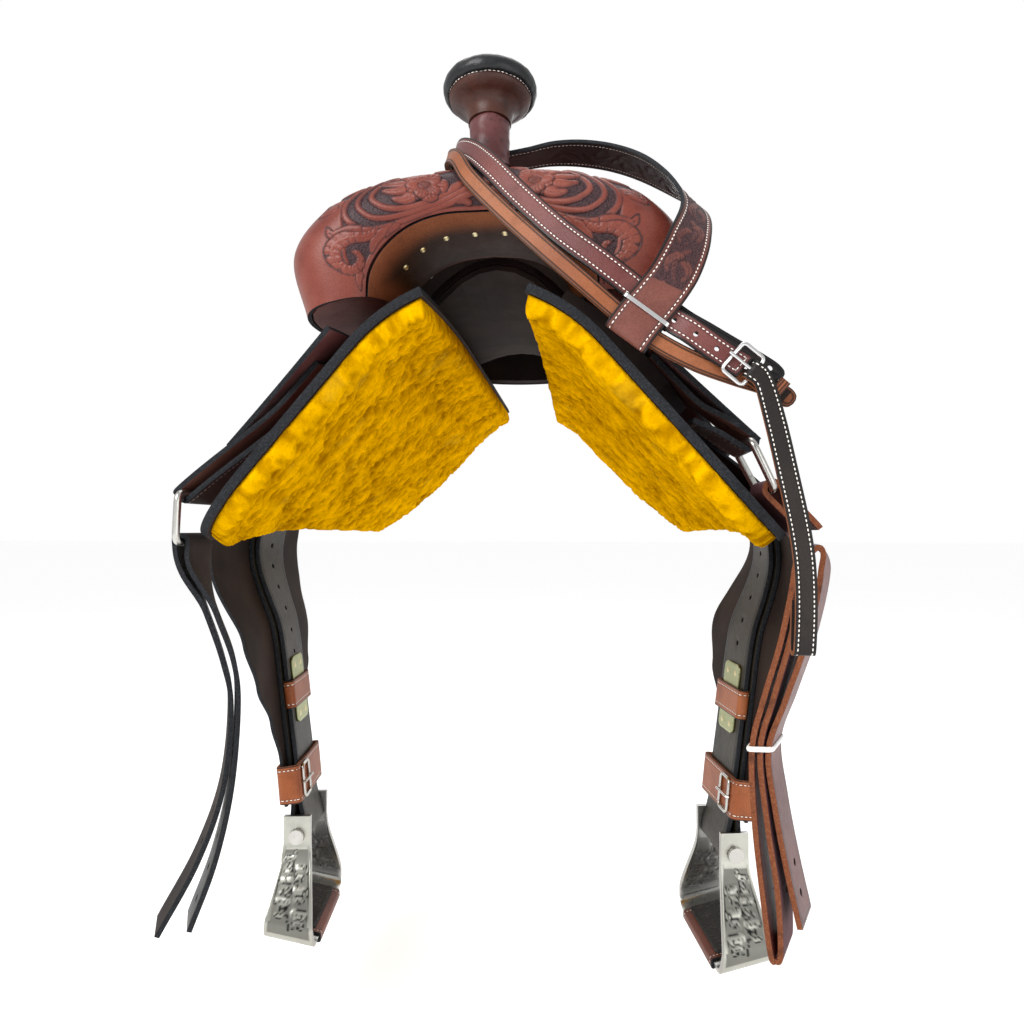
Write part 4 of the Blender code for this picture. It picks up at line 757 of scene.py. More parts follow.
def swell_carving(p, q):
    """One half of the swell's carving: p out from the middle, q up from the gullet's lip."""
    work = Carving(p, q)
    for shift, width in ((0.0, 0.0030), (1.0, 0.0026), (2.0, 0.0028)):
        work.frond([(0.010 + 0.004 * shift, 0.020 + 0.004 * shift), (0.030 + 0.003 * shift, 0.009 + 0.0045 * shift),
                    (0.056, 0.0045 + 0.0052 * shift), (0.082 - 0.006 * shift, 0.0070 + 0.0062 * shift),
                    (0.101 - 0.011 * shift, 0.018 + 0.0050 * shift), (0.104 - 0.0125 * shift, 0.032 + 0.003 * shift),
                    (0.095 - 0.013 * shift, 0.047 + 0.001 * shift), (0.077 - 0.010 * shift, 0.060 - 0.001 * shift)],
                   width, veins=False, stem=True)
    work.frond([(0.078, 0.062), (0.088, 0.076), (0.078, 0.092), (0.062, 0.098)], 0.0050, lobes=4)
    work.frond([(0.056, 0.064), (0.062, 0.082), (0.050, 0.098), (0.034, 0.104)], 0.0050, lobes=4)
    work.frond([(0.030, 0.056), (0.022, 0.068), (0.020, 0.084), (0.026, 0.098)], 0.0042, lobes=4)
    work.frond([(0.100, 0.050), (0.108, 0.060), (0.100, 0.070)], 0.0042)
    work.frond([(0.104, 0.022), (0.112, 0.026), (0.119, 0.033), (0.116, 0.041)], 0.0050)
    work.frond([(0.088, 0.0065), (0.100, 0.0075), (0.110, 0.0055), (0.117, 0.0030)], 0.0040)
    work.frond([(0.078, 0.0045), (0.086, 0.0045), (0.096, 0.0030)], 0.0026)
    work.frond([(0.140, 0.0050), (0.150, 0.0065), (0.160, 0.0050)], 0.0030)
    work.frond([(0.096, 0.0125), (0.106, 0.0150), (0.116, 0.0250), (0.129, 0.0285), (0.1395, 0.0220), (0.1405, 0.0120),
                (0.1320, 0.0075), (0.1250, 0.0110), (0.1245, 0.0170)], 0.0050, veins=False, taper=0.75, ruffle=0.052)
    work.frond([(0.009, 0.008), (0.014, 0.012), (0.021, 0.010)], 0.0030)
    work.frond([(0.008, 0.030), (0.006, 0.044), (0.010, 0.058)], 0.0040)
    work.frond([(0.030, 0.046), (0.044, 0.052), (0.060, 0.054)], 0.0044, lobes=3)
    work.flower(0.041, 0.033, 0.0175, 5, 0.35)
    work.frond([(0.052, 0.026), (0.060, 0.0245), (0.068, 0.0280)], 0.0042)
    work.frond([(0.054, 0.033), (0.063, 0.0345), (0.070, 0.0400)], 0.0042)
    work.frond([(0.052, 0.040), (0.060, 0.0450), (0.068, 0.0500)], 0.0038)
    return work


def carved_region(p, q):
    """1 on the ground between the motifs, 0 on the smooth shoulder; its border swings with the scrolls."""
    border = np.interp(q, (0, 0.010, 0.020, 0.030, 0.040, 0.055, 0.070, CARVED_TOP),
                       (0.158, 0.144, 0.132, 0.112, 0.104, 0.093, 0.102, 0.060))
    return np.clip((border - p) / 0.0012, 0, 1) * np.clip((q - 0.0022) / 0.0008, 0, 1)


def face_angle(u):
    """Angle round the swell at u from 0 to 1, with most of the columns on the carved face."""
    left = 1 - u
    return LIP_ANGLE * (1 - 2 * (DENSE * left + (1 - DENSE) * left ** 3))


def press(bm, height, ink):
    """Moves a sheet's points out by height, and keeps in "carved" where it is dyed or blackened."""
    carved = bm.verts.layers.float.new("carved")
    bm.normal_update()
    for vert, rise, dye in zip(bm.verts, height.flat, ink.flat):
        vert.co += vert.normal * float(rise)
        vert[carved] = float(dye)


def carve_swell(bm):
    """Sinks the ground between the motifs into the cover, and dyes it."""
    angles = np.array([face_angle(i / SWELL_COLS) for i in range(SWELL_COLS + 1)])
    halves = np.array([outline_length(mix(-1, 1, j / SWELL_ROWS)) for j in range(SWELL_ROWS + 1)])
    p, q = np.meshgrid(np.abs(halves), LIP_REACH * (LIP_ANGLE - angles), indexing="ij")
    work = swell_carving(p, q)
    on_face = q < CARVED_TOP
    region = carved_region(p, q)
    ground = region * on_face
    plain = 1 - work.leaf
    sunk = ground * plain
    height = np.where(work.leaf > 0, work.height, 0) * on_face - sunk * 0.0008 + (1 - ground) * plain * 0.0003
    border = np.exp(-((region - 0.5) / 0.3) ** 2) * on_face * plain
    press(bm, height, np.maximum(np.clip(np.maximum(sunk, work.ink * on_face), 0, 1), border))


swell_finish = leather("swell_leather", (0.160, 0.028, 0.017), (0.068, 0.010, 0.006), (0.26, 0.070, 0.048),
                       carved=True, rough=0.36, coat=0.3, edge=0.0)
# The gullet's lip keeps its red-brown only at its lit edges and darkens to near black inside: painted shade of the
# gullet.
gullet_painted_shade_finish = leather("gullet_leather", (0.150, 0.040, 0.012), (0.050, 0.013, 0.005), (0.23, 0.072, 0.026),
                        grain=1.4, edge=0.0, rough=0.62, coat=0.0, inner=(0.004, 0.024, (0.003, 0.0015, 0.001)))


half = COVER_THICK / 2
swell_spot = lifted(lambda u, v: swell_point(mix(-1, 1, v), face_angle(u)), -half, 0.002)
leather_sheet("swell_cover", SWELL_COLS, SWELL_ROWS, swell_spot, COVER_THICK, (swell_finish, dark_flesh, black_edge),
              "saddle", carve=carve_swell, round_by=0)
lip_start = LIP_ANGLE + LIP_GAP
lip_spot = lifted(lambda u, v: swell_point(mix(-1, 1, v), mix(lip_start, 2 * pi - lip_start, u)), -half)
leather_sheet("gullet_cover", 60, 160, lip_spot, COVER_THICK, (gullet_painted_shade_finish, dark_flesh, black_edge), "saddle")


def metal(name, colour, roughness, wear, grime, brushed=0.0):
    """Metal with faint scratches, and grime where it is not rubbed."""
    finish = Finish(name)
    cloud = finish.speckle(40.0, 4.0, 0.6)
    scratch = finish.speckle(900.0, 2.0, 0.7)
    tone = finish.blend(cloud.ease(0.48, 0.72) * 0.7, colour, wear)
    tone = finish.blend(finish.speckle(210.0, 4.0).ease(0.58, 0.74) * 0.45, tone, grime)
    return finish.show(tone, cloud * 0.2 + scratch * brushed + roughness, scratch * 0.00003, 1.0)


nail_brass = metal("nail_brass", (0.62, 0.52, 0.28), 0.28, (0.75, 0.68, 0.45), (0.20, 0.13, 0.05))
nickel = metal("nickel", (0.50, 0.49, 0.46), 0.18, (0.62, 0.61, 0.58), (0.10, 0.09, 0.08))


def stud(name, place, out, radius, height, material, body):
    """Domed nail or rivet head."""
    bm = bmesh.new()
    bmesh.ops.create_uvsphere(bm, u_segments=16, v_segments=8, radius=1)
    bmesh.ops.delete(bm, geom=[v for v in bm.verts if v.co.z < -0.01], context="VERTS")
    bmesh.ops.holes_fill(bm, edges=[e for e in bm.edges if e.is_boundary], sides=20)
    bm.transform(stand(place, out) @ Matrix.Diagonal((radius, radius, height, 1)))
    put(name, bm, (material,), body, sharp=60)


for k, across in enumerate((-0.60, -0.42, -0.24, -0.06, 0.12, 0.30, 0.48, 0.66)):
    place = swell_point(across, NAIL_ANGLE)
    step = 0.01
    out = (swell_point(across, NAIL_ANGLE + step) - swell_point(across, NAIL_ANGLE - step)).cross(
        swell_point(across + step, NAIL_ANGLE) - swell_point(across - step, NAIL_ANGLE)).normalized()
    stud(f"gullet_nail_{k}", place - out * 0.0002, out, 0.0028, 0.0014, nail_brass, "saddle")


# Horn: a steel core wrapped in soft purple-brown leather up its neck. Its cap is covered in brown leather, with
# a black rolled binding round the rim and white stitches under it.
HORN_TILT = radians(-6)
HORN_BASE_Z = 0.0990
HORN_PLACE = Matrix.Translation((0, SWELL_Y, HORN_BASE_Z)) @ Matrix.Rotation(HORN_TILT, 4, "X")


def smooth_line(points, count):
    """Flat profile through the points, in count steps."""
    line = [Vector(p) for p in points]
    return [tuple(spline_at(line, k / count)) for k in range(count + 1)]


def lathe(profile, steps, matrix, ring=False):
    """Surface turned about its own Z; "outline" holds the way round it and the way down its profile."""
    bm = bmesh.new()
    layer = bm.loops.layers.uv.new("outline")
    down = [0.0]
    for a, b in zip(profile, profile[1:]):
        down.append(down[-1] + (Vector(b[:2]) - Vector(a[:2])).length)
    widest = max(point[0] for point in profile)
    rings = []
    for point in profile:
        if point[0] < 1e-6:
            rings.append([bm.verts.new((0, 0, point[1]))])
        else:
            rings.append([bm.verts.new((point[0] * cos(2 * pi * k / steps), point[0] * sin(2 * pi * k / steps),
                                        point[1])) for k in range(steps)])
    if ring:
        rings.append(rings[0])
        down.append(down[-1] + down[1])
    for j, (upper, lower) in enumerate(zip(rings, rings[1:])):
        for k in range(steps):
            corners = [(upper, k, j), (lower, k, j + 1), (lower, k + 1, j + 1), (upper, k + 1, j)]
            verts, marks = [], []
            for line, i, row in corners:
                vert = line[i % len(line)]
                if vert not in verts:
                    verts.append(vert)
                    marks.append((2 * pi * widest * i / steps, down[row]))
            if len(verts) < 3:
                continue
            face = bm.faces.new(verts)
            for loop, mark in zip(face.loops, marks):
                loop[layer].uv = mark
    bm.transform(matrix)
    return bm


def rumple(bm, depth, scale, stretch=(1, 1, 1)):
    """Small soft dents and swellings all over the surface."""
    bm.normal_update()
    moves = [depth * noise.noise(Vector(a * b for a, b in zip(vert.co, stretch)) * scale) for vert in bm.verts]
    for vert, move in zip(bm.verts, moves):
        vert.co += vert.normal * move
    return bm


def turned_leather(name, colour, deep, pale, seams=(), pitch=0.0036, rough=0.42, coat=0.15):
    """Leather on a turned or rolled piece, with thread at the given ways down it."""
    finish = Finish(name)
    run, far = finish.flat()
    pores = finish.pebbles(900.0)
    creases = finish.speckle(150.0, 4.0, 0.6)
    cloud = finish.speckle(30.0, 3.0)
    tone = finish.blend(cloud.ease(0.36, 0.66) * 0.8, colour, pale)
    tone = finish.blend(creases.ease(0.5, 0.72) * 0.6, tone, deep)
    height = creases * 0.0003 - pores * 0.00010
    for seam in seams:
        thread, sunk = stitch_marks(run, far, seam, pitch)
        tone = finish.blend(sunk * 0.4, tone, deep)
        tone = finish.blend(thread, tone, THREAD)
        height = height - sunk * 0.0004 + thread * 0.0005
    return finish.show(tone, creases * 0.2 + (rough - 0.1), height, coat_weight=coat * 0.4, coat_roughness=0.3,
                       specular_ior_level=0.3)


neck_finish = turned_leather("horn_neck_leather", (0.070, 0.018, 0.019), (0.024, 0.006, 0.008),
                             (0.125, 0.040, 0.040))
cap_finish = turned_leather("horn_cap_leather_finish", (0.040, 0.011, 0.007), (0.014, 0.004, 0.003),
                            (0.072, 0.022, 0.013), seams=(0.0440,))
black_roll = turned_leather("black_binding", (0.006, 0.007, 0.008), (0.003, 0.003, 0.004), (0.018, 0.019, 0.022),
                            rough=0.38, coat=0.3)
neck_outer = [(0.0126, 0.0535), (0.0166, 0.0536)] + smooth_line(
    ((0.0172, 0.0530), (0.0167, 0.0440), (0.0172, 0.0330), (0.0170, 0.0220), (0.0186, 0.0130), (0.0225, 0.0070),
     (0.0285, 0.0040)), 46) + [(0.0285, 0.0036), (0.0126, 0.0036)]
cap_outer = [(0, 0.0922), (0.012, 0.0920)] + smooth_line(
    ((0.020, 0.0912), (0.027, 0.0900), (0.0320, 0.0880), (0.0345, 0.0830), (0.0354, 0.0785), (0.0340, 0.0745),
     (0.0295, 0.0712), (0.0245, 0.0686), (0.0204, 0.0648), (0.0186, 0.0595), (0.0182, 0.0540)), 52) + [(0.0126, 0.0540)]
binding = [(0.0358 + 0.0044 * cos(a), 0.0840 + 0.0066 * sin(a)) for a in (2 * pi * k / 22 for k in range(22))]
put("horn_neck_wrap", rumple(lathe(neck_outer, 80, HORN_PLACE, ring=True), 0.0011, 75, (1, 1, 1.7)),
    (neck_finish,), "saddle", sharp=60)
put("horn_cap_leather", rumple(lathe(cap_outer, 96, HORN_PLACE), 0.0005, 90), (cap_finish,), "saddle",
    sharp=60)
put("horn_cap_binding", rumple(lathe(binding, 110, HORN_PLACE, ring=True), 0.0005, 160), (black_roll,), "saddle",
    sharp=60)


# Seat: padded burgundy leather on the ground seat, the cantle board covered in the same leather with a stitched
# roll along its top edge and a plain back.
SEAT_LINE = [Vector(p) for p in ((-0.158, 0.046), (-0.110, 0.036), (-0.060, 0.028), (0.000, 0.024),
                                 (0.060, 0.027), (0.120, 0.036), (0.200, 0.052))]
BAR_THICK = 0.0155
GROUND_THICK = 0.005
SEAT_THICK = 0.013
SEAT_WIDE = 0.20
SEAT_LONG = 0.34
SEAT_SEAM = 0.017
SEAT_RISE = 0.66
SEAT_EDGE_X = 0.098
SEAT_BRIDGE_X = 0.060
CANTLE_HALF_WIDTH = 0.119
CANTLE_CENTRE_Y = 0.085
CANTLE_DEPTH = 0.112
CANTLE_TOP_Z = 0.122
CANTLE_THICK = 0.012
CANTLE_LEAN = 0.16
CANTLE_SPREAD = radians(64)
LINING_THICK = 0.0025
ROLL_RADIUS = 0.011
BOARD_REAR = CANTLE_THICK / 2 + DRAPE_GAP


def bar_top_z(x, y):
    """Height of the top of the tree bars at x."""
    low, high = 0.0, 0.25
    for _ in range(16):
        middle = (low + high) / 2
        if drape(middle, y, BAR_THICK + 2 * DRAPE_GAP).x < x:
            low = middle
        else:
            high = middle
    return drape(low, y, BAR_THICK + 2 * DRAPE_GAP).z


def cantle_top(x):
    """Height of the cantle board's top edge at x."""
    return CANTLE_TOP_Z * (1 - 0.92 * (min(abs(x), CANTLE_HALF_WIDTH * 1.02) / CANTLE_HALF_WIDTH) ** 2.4)


def seat_point(across, along):
    """Underside of the ground seat: it bridges the two bars and rises to the cantle at the back."""
    x = SEAT_EDGE_X * abs(across)
    face_y = CANTLE_CENTRE_Y + CANTLE_DEPTH * sqrt(1 - min(1.0, x / CANTLE_HALF_WIDTH) ** 2)
    y = mix(SEAT_LINE[0].x, face_y + CANTLE_LEAN * cantle_top(x) - 0.0065, along)
    place = (y - SEAT_LINE[0].x) / (SEAT_LINE[-1].x - SEAT_LINE[0].x)
    if x > SEAT_BRIDGE_X:
        z = bar_top_z(x, y)
    else:
        z = mix(spline_at(SEAT_LINE, place).y, bar_top_z(SEAT_BRIDGE_X, y), (x / SEAT_BRIDGE_X) ** 2)
    z += max(0.0, (along - SEAT_RISE) / (1 - SEAT_RISE)) ** 2 * max(0.0, cantle_top(x) - 0.010 - z)
    return Vector((x if across > 0 else -x, y, z))


def cantle_point(across, up, rearwards):
    """Point of the cantle board, from the bars (up = 0) to its top edge (up = 1)."""
    angle = across * CANTLE_SPREAD
    x = CANTLE_HALF_WIDTH * sin(angle)
    y = CANTLE_CENTRE_Y + CANTLE_DEPTH * cos(angle)
    low = bar_top_z(max(abs(x), SEAT_BRIDGE_X), y) + 0.0069
    height = mix(low, cantle_top(x), up)
    back = rearwards + CANTLE_LEAN * height
    return Vector((x + back * sin(angle), y + back * cos(angle), height))


def slab(cols, rows, upper, lower, edge):
    """Closed body between upper(u, v) and lower(u, v); edge(u, v) is the way along and in from its edge."""
    bm = bmesh.new()
    layer = bm.loops.layers.uv.new("outline")
    tops = [[bm.verts.new(upper(i / cols, j / rows)) for i in range(cols + 1)] for j in range(rows + 1)]
    lows = [[bm.verts.new(lower(i / cols, j / rows)) for i in range(cols + 1)] for j in range(rows + 1)]
    quads = []
    for j in range(rows):
        for i in range(cols):
            around = ((i, j), (i + 1, j), (i + 1, j + 1), (i, j + 1))
            quads.append(([tops[b][a] for a, b in around], around))
            quads.append(([lows[b][a] for a, b in around][::-1], around[::-1]))
    for i in range(cols):
        for j in (0, rows):
            around = ((i, j), (i + 1, j), (i + 1, j), (i, j))
            quads.append(([tops[j][i], tops[j][i + 1], lows[j][i + 1], lows[j][i]], around))
    for j in range(rows):
        for i in (0, cols):
            around = ((i, j), (i, j + 1), (i, j + 1), (i, j))
            quads.append(([tops[j][i], tops[j + 1][i], lows[j + 1][i], lows[j][i]], around))
    for verts, around in quads:
        face = bm.faces.new(verts)
        for loop, (a, b) in zip(face.loops, around):
            loop[layer].uv = edge(a / cols, b / rows)
    return bm


def seat_edge(u, v):
    """How far along the seat leather's edge a point lies, and how far in from it."""
    side_far, end_far = min(u, 1 - u) * SEAT_WIDE, min(v, 1 - v) * SEAT_LONG
    return (v * SEAT_LONG, side_far) if side_far < end_far else (u * SEAT_WIDE, end_far)


def seat_base(u, v):
    """Point of the ground seat's underside at u from side to side and v from front to rear."""
    return seat_point(mix(-1, 1, u), v)


def seat_fill(u, v):
    """Padding of the seat: full in the middle, thin at its stitched edge, with a rounded shoulder."""
    far = seat_edge(u, v)[1]
    full = sqrt(max(0.0, 1 - (1 - min(1.0, far / 0.016)) ** 2))
    seam = 0.0016 * max(0.0, 1 - abs(far - SEAT_SEAM) / 0.003)
    return GROUND_THICK + DRAPE_GAP + SEAT_THICK * (0.42 + 0.56 * full) - seam


seat_finish = leather("seat_leather_finish", (0.085, 0.020, 0.016), (0.035, 0.008, 0.007), (0.14, 0.042, 0.032),
                      stitch=(SEAT_SEAM,), edge=0.0012, rough=0.40, coat=0.2)
seat_bm = slab(64, 76, lifted(seat_base, seat_fill), lifted(seat_base, GROUND_THICK + DRAPE_GAP), seat_edge)
put("seat_leather", seat_bm, (seat_finish,), "saddle", sharp=50)
cover_finish = leather("cantle_back_leather", (0.085, 0.020, 0.016), (0.035, 0.008, 0.007), (0.14, 0.042, 0.032),
                       stitch=(0.006,), rough=0.42)


def seat_riser(u, v):
    """Leather that closes the seat against the back of the swell."""
    across = mix(-0.86, 0.86, u)
    low = seat_point(across, 0.006)
    return Vector((low.x, -0.1530 - 0.0060 * v, low.z + mix(0.004, 0.034, v)))


leather_sheet("seat_riser", 50, 14, seat_riser, LINING_THICK, (dark_flesh, cover_finish, black_edge), "saddle")


def cantle_back(u, v):
    """Plain leather on the back of the cantle board, under the roll."""
    return cantle_point(mix(-1.02, 1.02, u), mix(-0.02, 0.99, v), BOARD_REAR + CANTLE_THICK / 2 + 0.0016)


leather_sheet("cantle_back", 80, 20, cantle_back, LINING_THICK, (cover_finish, dark_flesh, black_edge), "saddle",
              flip=True)


def tube(points, radius, around, up, cyclic=False, squeeze=1.0):
    """Round bar through the points; "outline" holds the way along it and the way round it."""
    bm = bmesh.new()
    layer = bm.loops.layers.uv.new("outline")
    line = [Vector(p) for p in points]
    count = len(line)
    ways = []
    for k in range(count):
        ahead = line[(k + 1) % count] if cyclic or k < count - 1 else line[k]
        back = line[k - 1] if cyclic or k else line[k]
        ways.append((ahead - back).normalized())
    normal = Vector(up).normalized()
    rings, runs = [], []
    for k, (place, way) in enumerate(zip(line, ways)):
        normal = (normal - way * normal.dot(way)).normalized()
        side_way = way.cross(normal)
        rings.append([bm.verts.new(place + (normal * cos(a) * squeeze + side_way * sin(a)) * radius)
                      for a in (2 * pi * n / around for n in range(around))])
        runs.append(runs[-1] + (place - line[k - 1]).length if k else 0.0)
    pairs = list(zip(rings, rings[1:], runs, runs[1:]))
    if cyclic:
        pairs.append((rings[-1], rings[0], runs[-1], runs[-1] + (line[0] - line[-1]).length))
    for first, second, low, high in pairs:
        for n in range(around):
            m = (n + 1) % around
            face = bm.faces.new((first[n], first[m], second[m], second[n]))
            for loop, mark in zip(face.loops, ((low, n), (low, n + 1), (high, n + 1), (high, n))):
                loop[layer].uv = (mark[0], mark[1] / around * 2 * pi * radius)
    if not cyclic:
        for ring, place, way in ((rings[0], line[0], -ways[0]), (rings[-1], line[-1], ways[-1])):
            tip = bm.verts.new(place + way * (ring[0].co - place).length * 0.45)
            for n in range(around):
                bm.faces.new((ring[n], ring[(n + 1) % around], tip))
    return bm


roll_line = []
for k in range(81):
    across = mix(-1, 1, k / 80)
    here = cantle_point(across, 1.0, BOARD_REAR)
    way = (cantle_point(across + 0.02, 1.0, BOARD_REAR) - cantle_point(across - 0.02, 1.0, BOARD_REAR)).normalized()
    rise = here - cantle_point(across, 0.9, BOARD_REAR)
    rise -= way * rise.dot(way)
    roll_line.append(here + rise.normalized() * (ROLL_RADIUS + 1.2 * DRAPE_GAP))
roll_finish = turned_leather("cantle_roll_leather", (0.090, 0.021, 0.016), (0.036, 0.008, 0.007),
                             (0.15, 0.046, 0.034), seams=(0.0230, 0.0470), pitch=0.0045)
put("cantle_roll", rumple(tube(roll_line, ROLL_RADIUS - 0.0002, 24, (0, 0, 1)), 0.0007, 70), (roll_finish,), "saddle",
    sharp=70)


# Jockeys: flat leathers that cover the joins of tree, seat and skirt, with black edges and one row of stitches.
# A silver concho on a scalloped leather rosette holds each front one.
JOCKEY_THICK = 0.004
CONCHO_S = 0.098
CONCHO_Y = -0.243
FRONT_JOCKEY_LOW = 0.205
SEAT_JOCKEY_LOW = 0.215
SEAT_JOCKEY_RISE = 0.0275
REAR_JOCKEY_LOW = 0.175
REAR_JOCKEY_RISE = 0.0190
jockey_face_finish = leather("jockey_leather", (0.150, 0.038, 0.030), (0.062, 0.013, 0.011), (0.26, 0.092, 0.074),
                             stitch=(0.0065,), groove=(0.0100,), rough=0.40, edge=0.0018)
rear_finish = leather("rear_jockey_leather", BURGUNDY, BURGUNDY_DEEP, BURGUNDY_PALE, stitch=(0.0065,),
                      groove=(0.0105, 0.0125, 0.024, 0.026), rough=0.40, edge=0.0018)
pink_flesh = flesh("jockey_flesh_side", (0.150, 0.062, 0.060), (0.30, 0.155, 0.150))


def front_jockey_rise(s):
    """Height of the front jockey over the skirt: it lifts a little more towards its lower edge."""
    return 0.0236 + 0.107 * (s - 0.10)


def engrave(name, base, dark, roughness):
    """Metal with blackened engraving where its "carved" value says so."""
    finish = Finish(name)
    cut = finish.value("carved")
    cloud = finish.speckle(60.0, 4.0, 0.6)
    scratch = finish.speckle(1100.0, 2.0, 0.7)
    tone = finish.blend(cloud.ease(0.45, 0.72) * 0.35, base, tuple(c * 0.72 for c in base))
    tone = finish.blend(cut, tone, dark)
    return finish.show(tone, cloud * 0.12 + scratch * 0.05 + roughness + cut * 0.35, scratch * 0.00002, 1.0)


silver = engrave("engraved_silver", (0.66, 0.66, 0.66), (0.020, 0.019, 0.018), 0.16)


def rosette(name, side, place, out):
    """Scalloped leather rosette with the domed silver concho on it, its rim cut in petals."""
    bm = lathe([(0, 0.0020), (0.018, 0.0020), (0.0225, 0.0020), (0.0240, 0.0012), (0.0240, 0.0002), (0, 0.0002)],
               96, Matrix.Identity(4))
    for vert in bm.verts:
        if vert.co.xy.length > 0.019:
            scallop = 1 + 0.085 * abs(sin(6 * atan2(vert.co.y, vert.co.x))) ** 0.7
            vert.co.x *= scallop
            vert.co.y *= scallop
    bm.transform(stand(place, out))
    put("rosette_" + name, bm, (jockey_face_finish,), "saddle")
    dome = [(0, 0.0062)] + smooth_line(
        ((0.0015, 0.0062), (0.006, 0.0058), (0.0095, 0.0044), (0.0115, 0.0036), (0.0128, 0.0042), (0.0160, 0.0039),
         (0.0182, 0.0028), (0.0190, 0.0021)), 40) + [(0.0186, 0.0016), (0, 0.0016)]
    bm = lathe(dome, 120, Matrix.Identity(4))
    carved = bm.verts.layers.float.new("carved")
    for vert in bm.verts:
        far = vert.co.xy.length
        if vert.co.z < 0.0018 or far < 0.0005:
            continue
        angle = atan2(vert.co.y, vert.co.x)
        petal = abs(sin(8 * angle))
        band = ramp(far, 0.0125, 0.0135) * (1 - ramp(far, 0.0172, 0.0180))
        bud = ramp(far, 0.0030, 0.0036) * (1 - ramp(far, 0.0085, 0.0092))
        cut = max(band * (1 - ramp(petal, 0.10, 0.22)), bud * (1 - ramp(abs(sin(5 * angle)), 0.12, 0.26)),
                  1 - abs(far - 0.0113) / 0.0006)
        vert.co.z += band * 0.0005 * petal - cut * 0.0004
        vert[carved] = cut
    bm.transform(stand(place, out))
    put("concho_" + name, bm, (silver,), "saddle")


for name, side in SIDES:
    for piece, cols, rows, top, low, front, rear, rise, face in (
        ("front_jockey_", 70, 70, 0.070, FRONT_JOCKEY_LOW, lambda s: -0.288 + 0.35 * (s - 0.075),
         rounded_end(-0.1546, FRONT_JOCKEY_LOW, 0.05, -1), front_jockey_rise, jockey_face_finish),
        ("seat_jockey_", 90, 60, 0.064, SEAT_JOCKEY_LOW, rounded_end(-0.154, SEAT_JOCKEY_LOW, 0.07, 1),
         rounded_end(0.132, SEAT_JOCKEY_LOW, 0.07, -1), SEAT_JOCKEY_RISE, rear_finish),
        ("rear_jockey_", 70, 60, 0.012, REAR_JOCKEY_LOW, rounded_end(0.138, REAR_JOCKEY_LOW, 0.05, 1),
         rounded_end(0.318, REAR_JOCKEY_LOW, 0.05, -1), REAR_JOCKEY_RISE, rear_finish),
    ):
        leather_sheet(piece + name, cols, rows, drape_spot(side, top, low, front, rear, rise), JOCKEY_THICK,
                      (face, pink_flesh, black_edge), "saddle", flip=side > 0)

    def jockey_face(u, v):
        return drape(CONCHO_S + u, CONCHO_Y + v, front_jockey_rise(CONCHO_S + u), side)

    step = 0.01
    out = (jockey_face(step, 0) - jockey_face(-step, 0)).cross(jockey_face(0, step) - jockey_face(0, -step))
    out = out.normalized() * side
    rosette(name, side, jockey_face(0, 0) + out * (JOCKEY_THICK / 2 + 0.0001), out)


# Leathers: each stirrup hangs in a doubled black leather with punched holes, behind a wide fender of the same
# leather. A brass buckle plate joins its layers under a tan sleeve, and a tan strap with a nickel buckle keeps
# the neck together.
STRIP_TOP = 0.008
STRIP_LOW = 0.034
STRAP_CHANNEL = 0.0066
SEAT_GAP = 0.0003
LEATHER_WIDTH = 0.062
LEATHER_THICK = 0.004
INNER_RUN = 0.0070
OUTER_RUN = 0.0142
FENDER_RUN = 0.0190
FENDER_THICK = 0.0035
TURN = {"near": radians(9), "off": radians(-7)}
HOLES = {"near": (-0.217, 6), "off": (-0.187, 7)}
HOLE_STEP = 0.0228
PLATE_THICK = 0.002
SLEEVE_THICK = 0.0016
BOLT_Z = -0.505
SLEEVE_RADIUS = 0.0060
BUCKLE_HIGH_Z = -0.328
BUCKLE_LOW_Z = -0.396
SLEEVE_HIGH_Z = -0.350
SLEEVE_LOW_Z = -0.378
HOBBLE_HIGH_Z = -0.432
HOBBLE_LOW_Z = -0.470
HOBBLE_THICK = 0.003
FENDER_NECK = 0.042
DROP = ((0.2597, -0.2060), (0.2590, -0.2320), (0.2508, -0.2600), (0.2412, -0.2860), (0.2362, -0.3100),
        (0.2320, -0.3420), (0.2280, -0.3740), (0.2240, -0.4060), (0.2198, -0.4380), (0.2165, -0.4700),
        (0.2150, -0.4850))
SLOPE_STEPS = (0.0, 0.05, 0.10, 0.15, 0.19, 0.211)
PIVOT_ALONG = (STRIP_TOP + STRIP_LOW) / 2
RUN_Z = (-0.107, -0.125, -0.145, -0.165, -0.185, -0.200, -0.215, -0.232, -0.250, -0.270, -0.290, -0.315,
         -0.345, -0.375, -0.400, -0.424, -0.450, HOBBLE_LOW_Z - 0.004)
PIN_PLACES = ((-0.337, -0.010), (-0.337, 0.010), (-0.3875, -0.010), (-0.3875, 0.010))
FENDER_FRONT = ((-0.474, 0.040), (-0.425, 0.042), (-0.385, 0.058), (-0.345, 0.086), (-0.300, 0.108),
                (-0.250, 0.115), (-0.205, 0.106), (-0.160, 0.086), (-0.107, 0.055))
FENDER_REAR = ((-0.474, 0.040), (-0.425, 0.042), (-0.385, 0.064), (-0.345, 0.100), (-0.300, 0.117),
               (-0.250, 0.114), (-0.205, 0.102), (-0.160, 0.084), (-0.107, 0.055))


def table(value, rows):
    """Value read from (key, value) rows with a smooth step between them."""
    for (k0, v0), (k1, v1) in zip(rows, rows[1:]):
        if value <= k1:
            return mix(v0, v1, ramp(value, k0, k1))
    return rows[-1][1]


def on_slope(along, rise):
    """Point (x, z) at rise over the skirt's outer face at mid length."""
    point = drape(RIDGE_ROUND + along, MID_Y, rise)
    return Vector((point.x, point.z))


HANG_LINE = [on_slope(along, INNER_RUN) for along in SLOPE_STEPS] + [Vector(p) for p in DROP]
known = {}


def t_at(z):
    """Place along the hanging line at a height."""
    key = round(z, 5)
    if key not in known:
        low, high = 0.0, 1.0
        for _ in range(22):
            middle = (low + high) / 2
            if spline_at(HANG_LINE, middle).y > z:
                low = middle
            else:
                high = middle
        known[key] = (low + high) / 2
    return known[key]


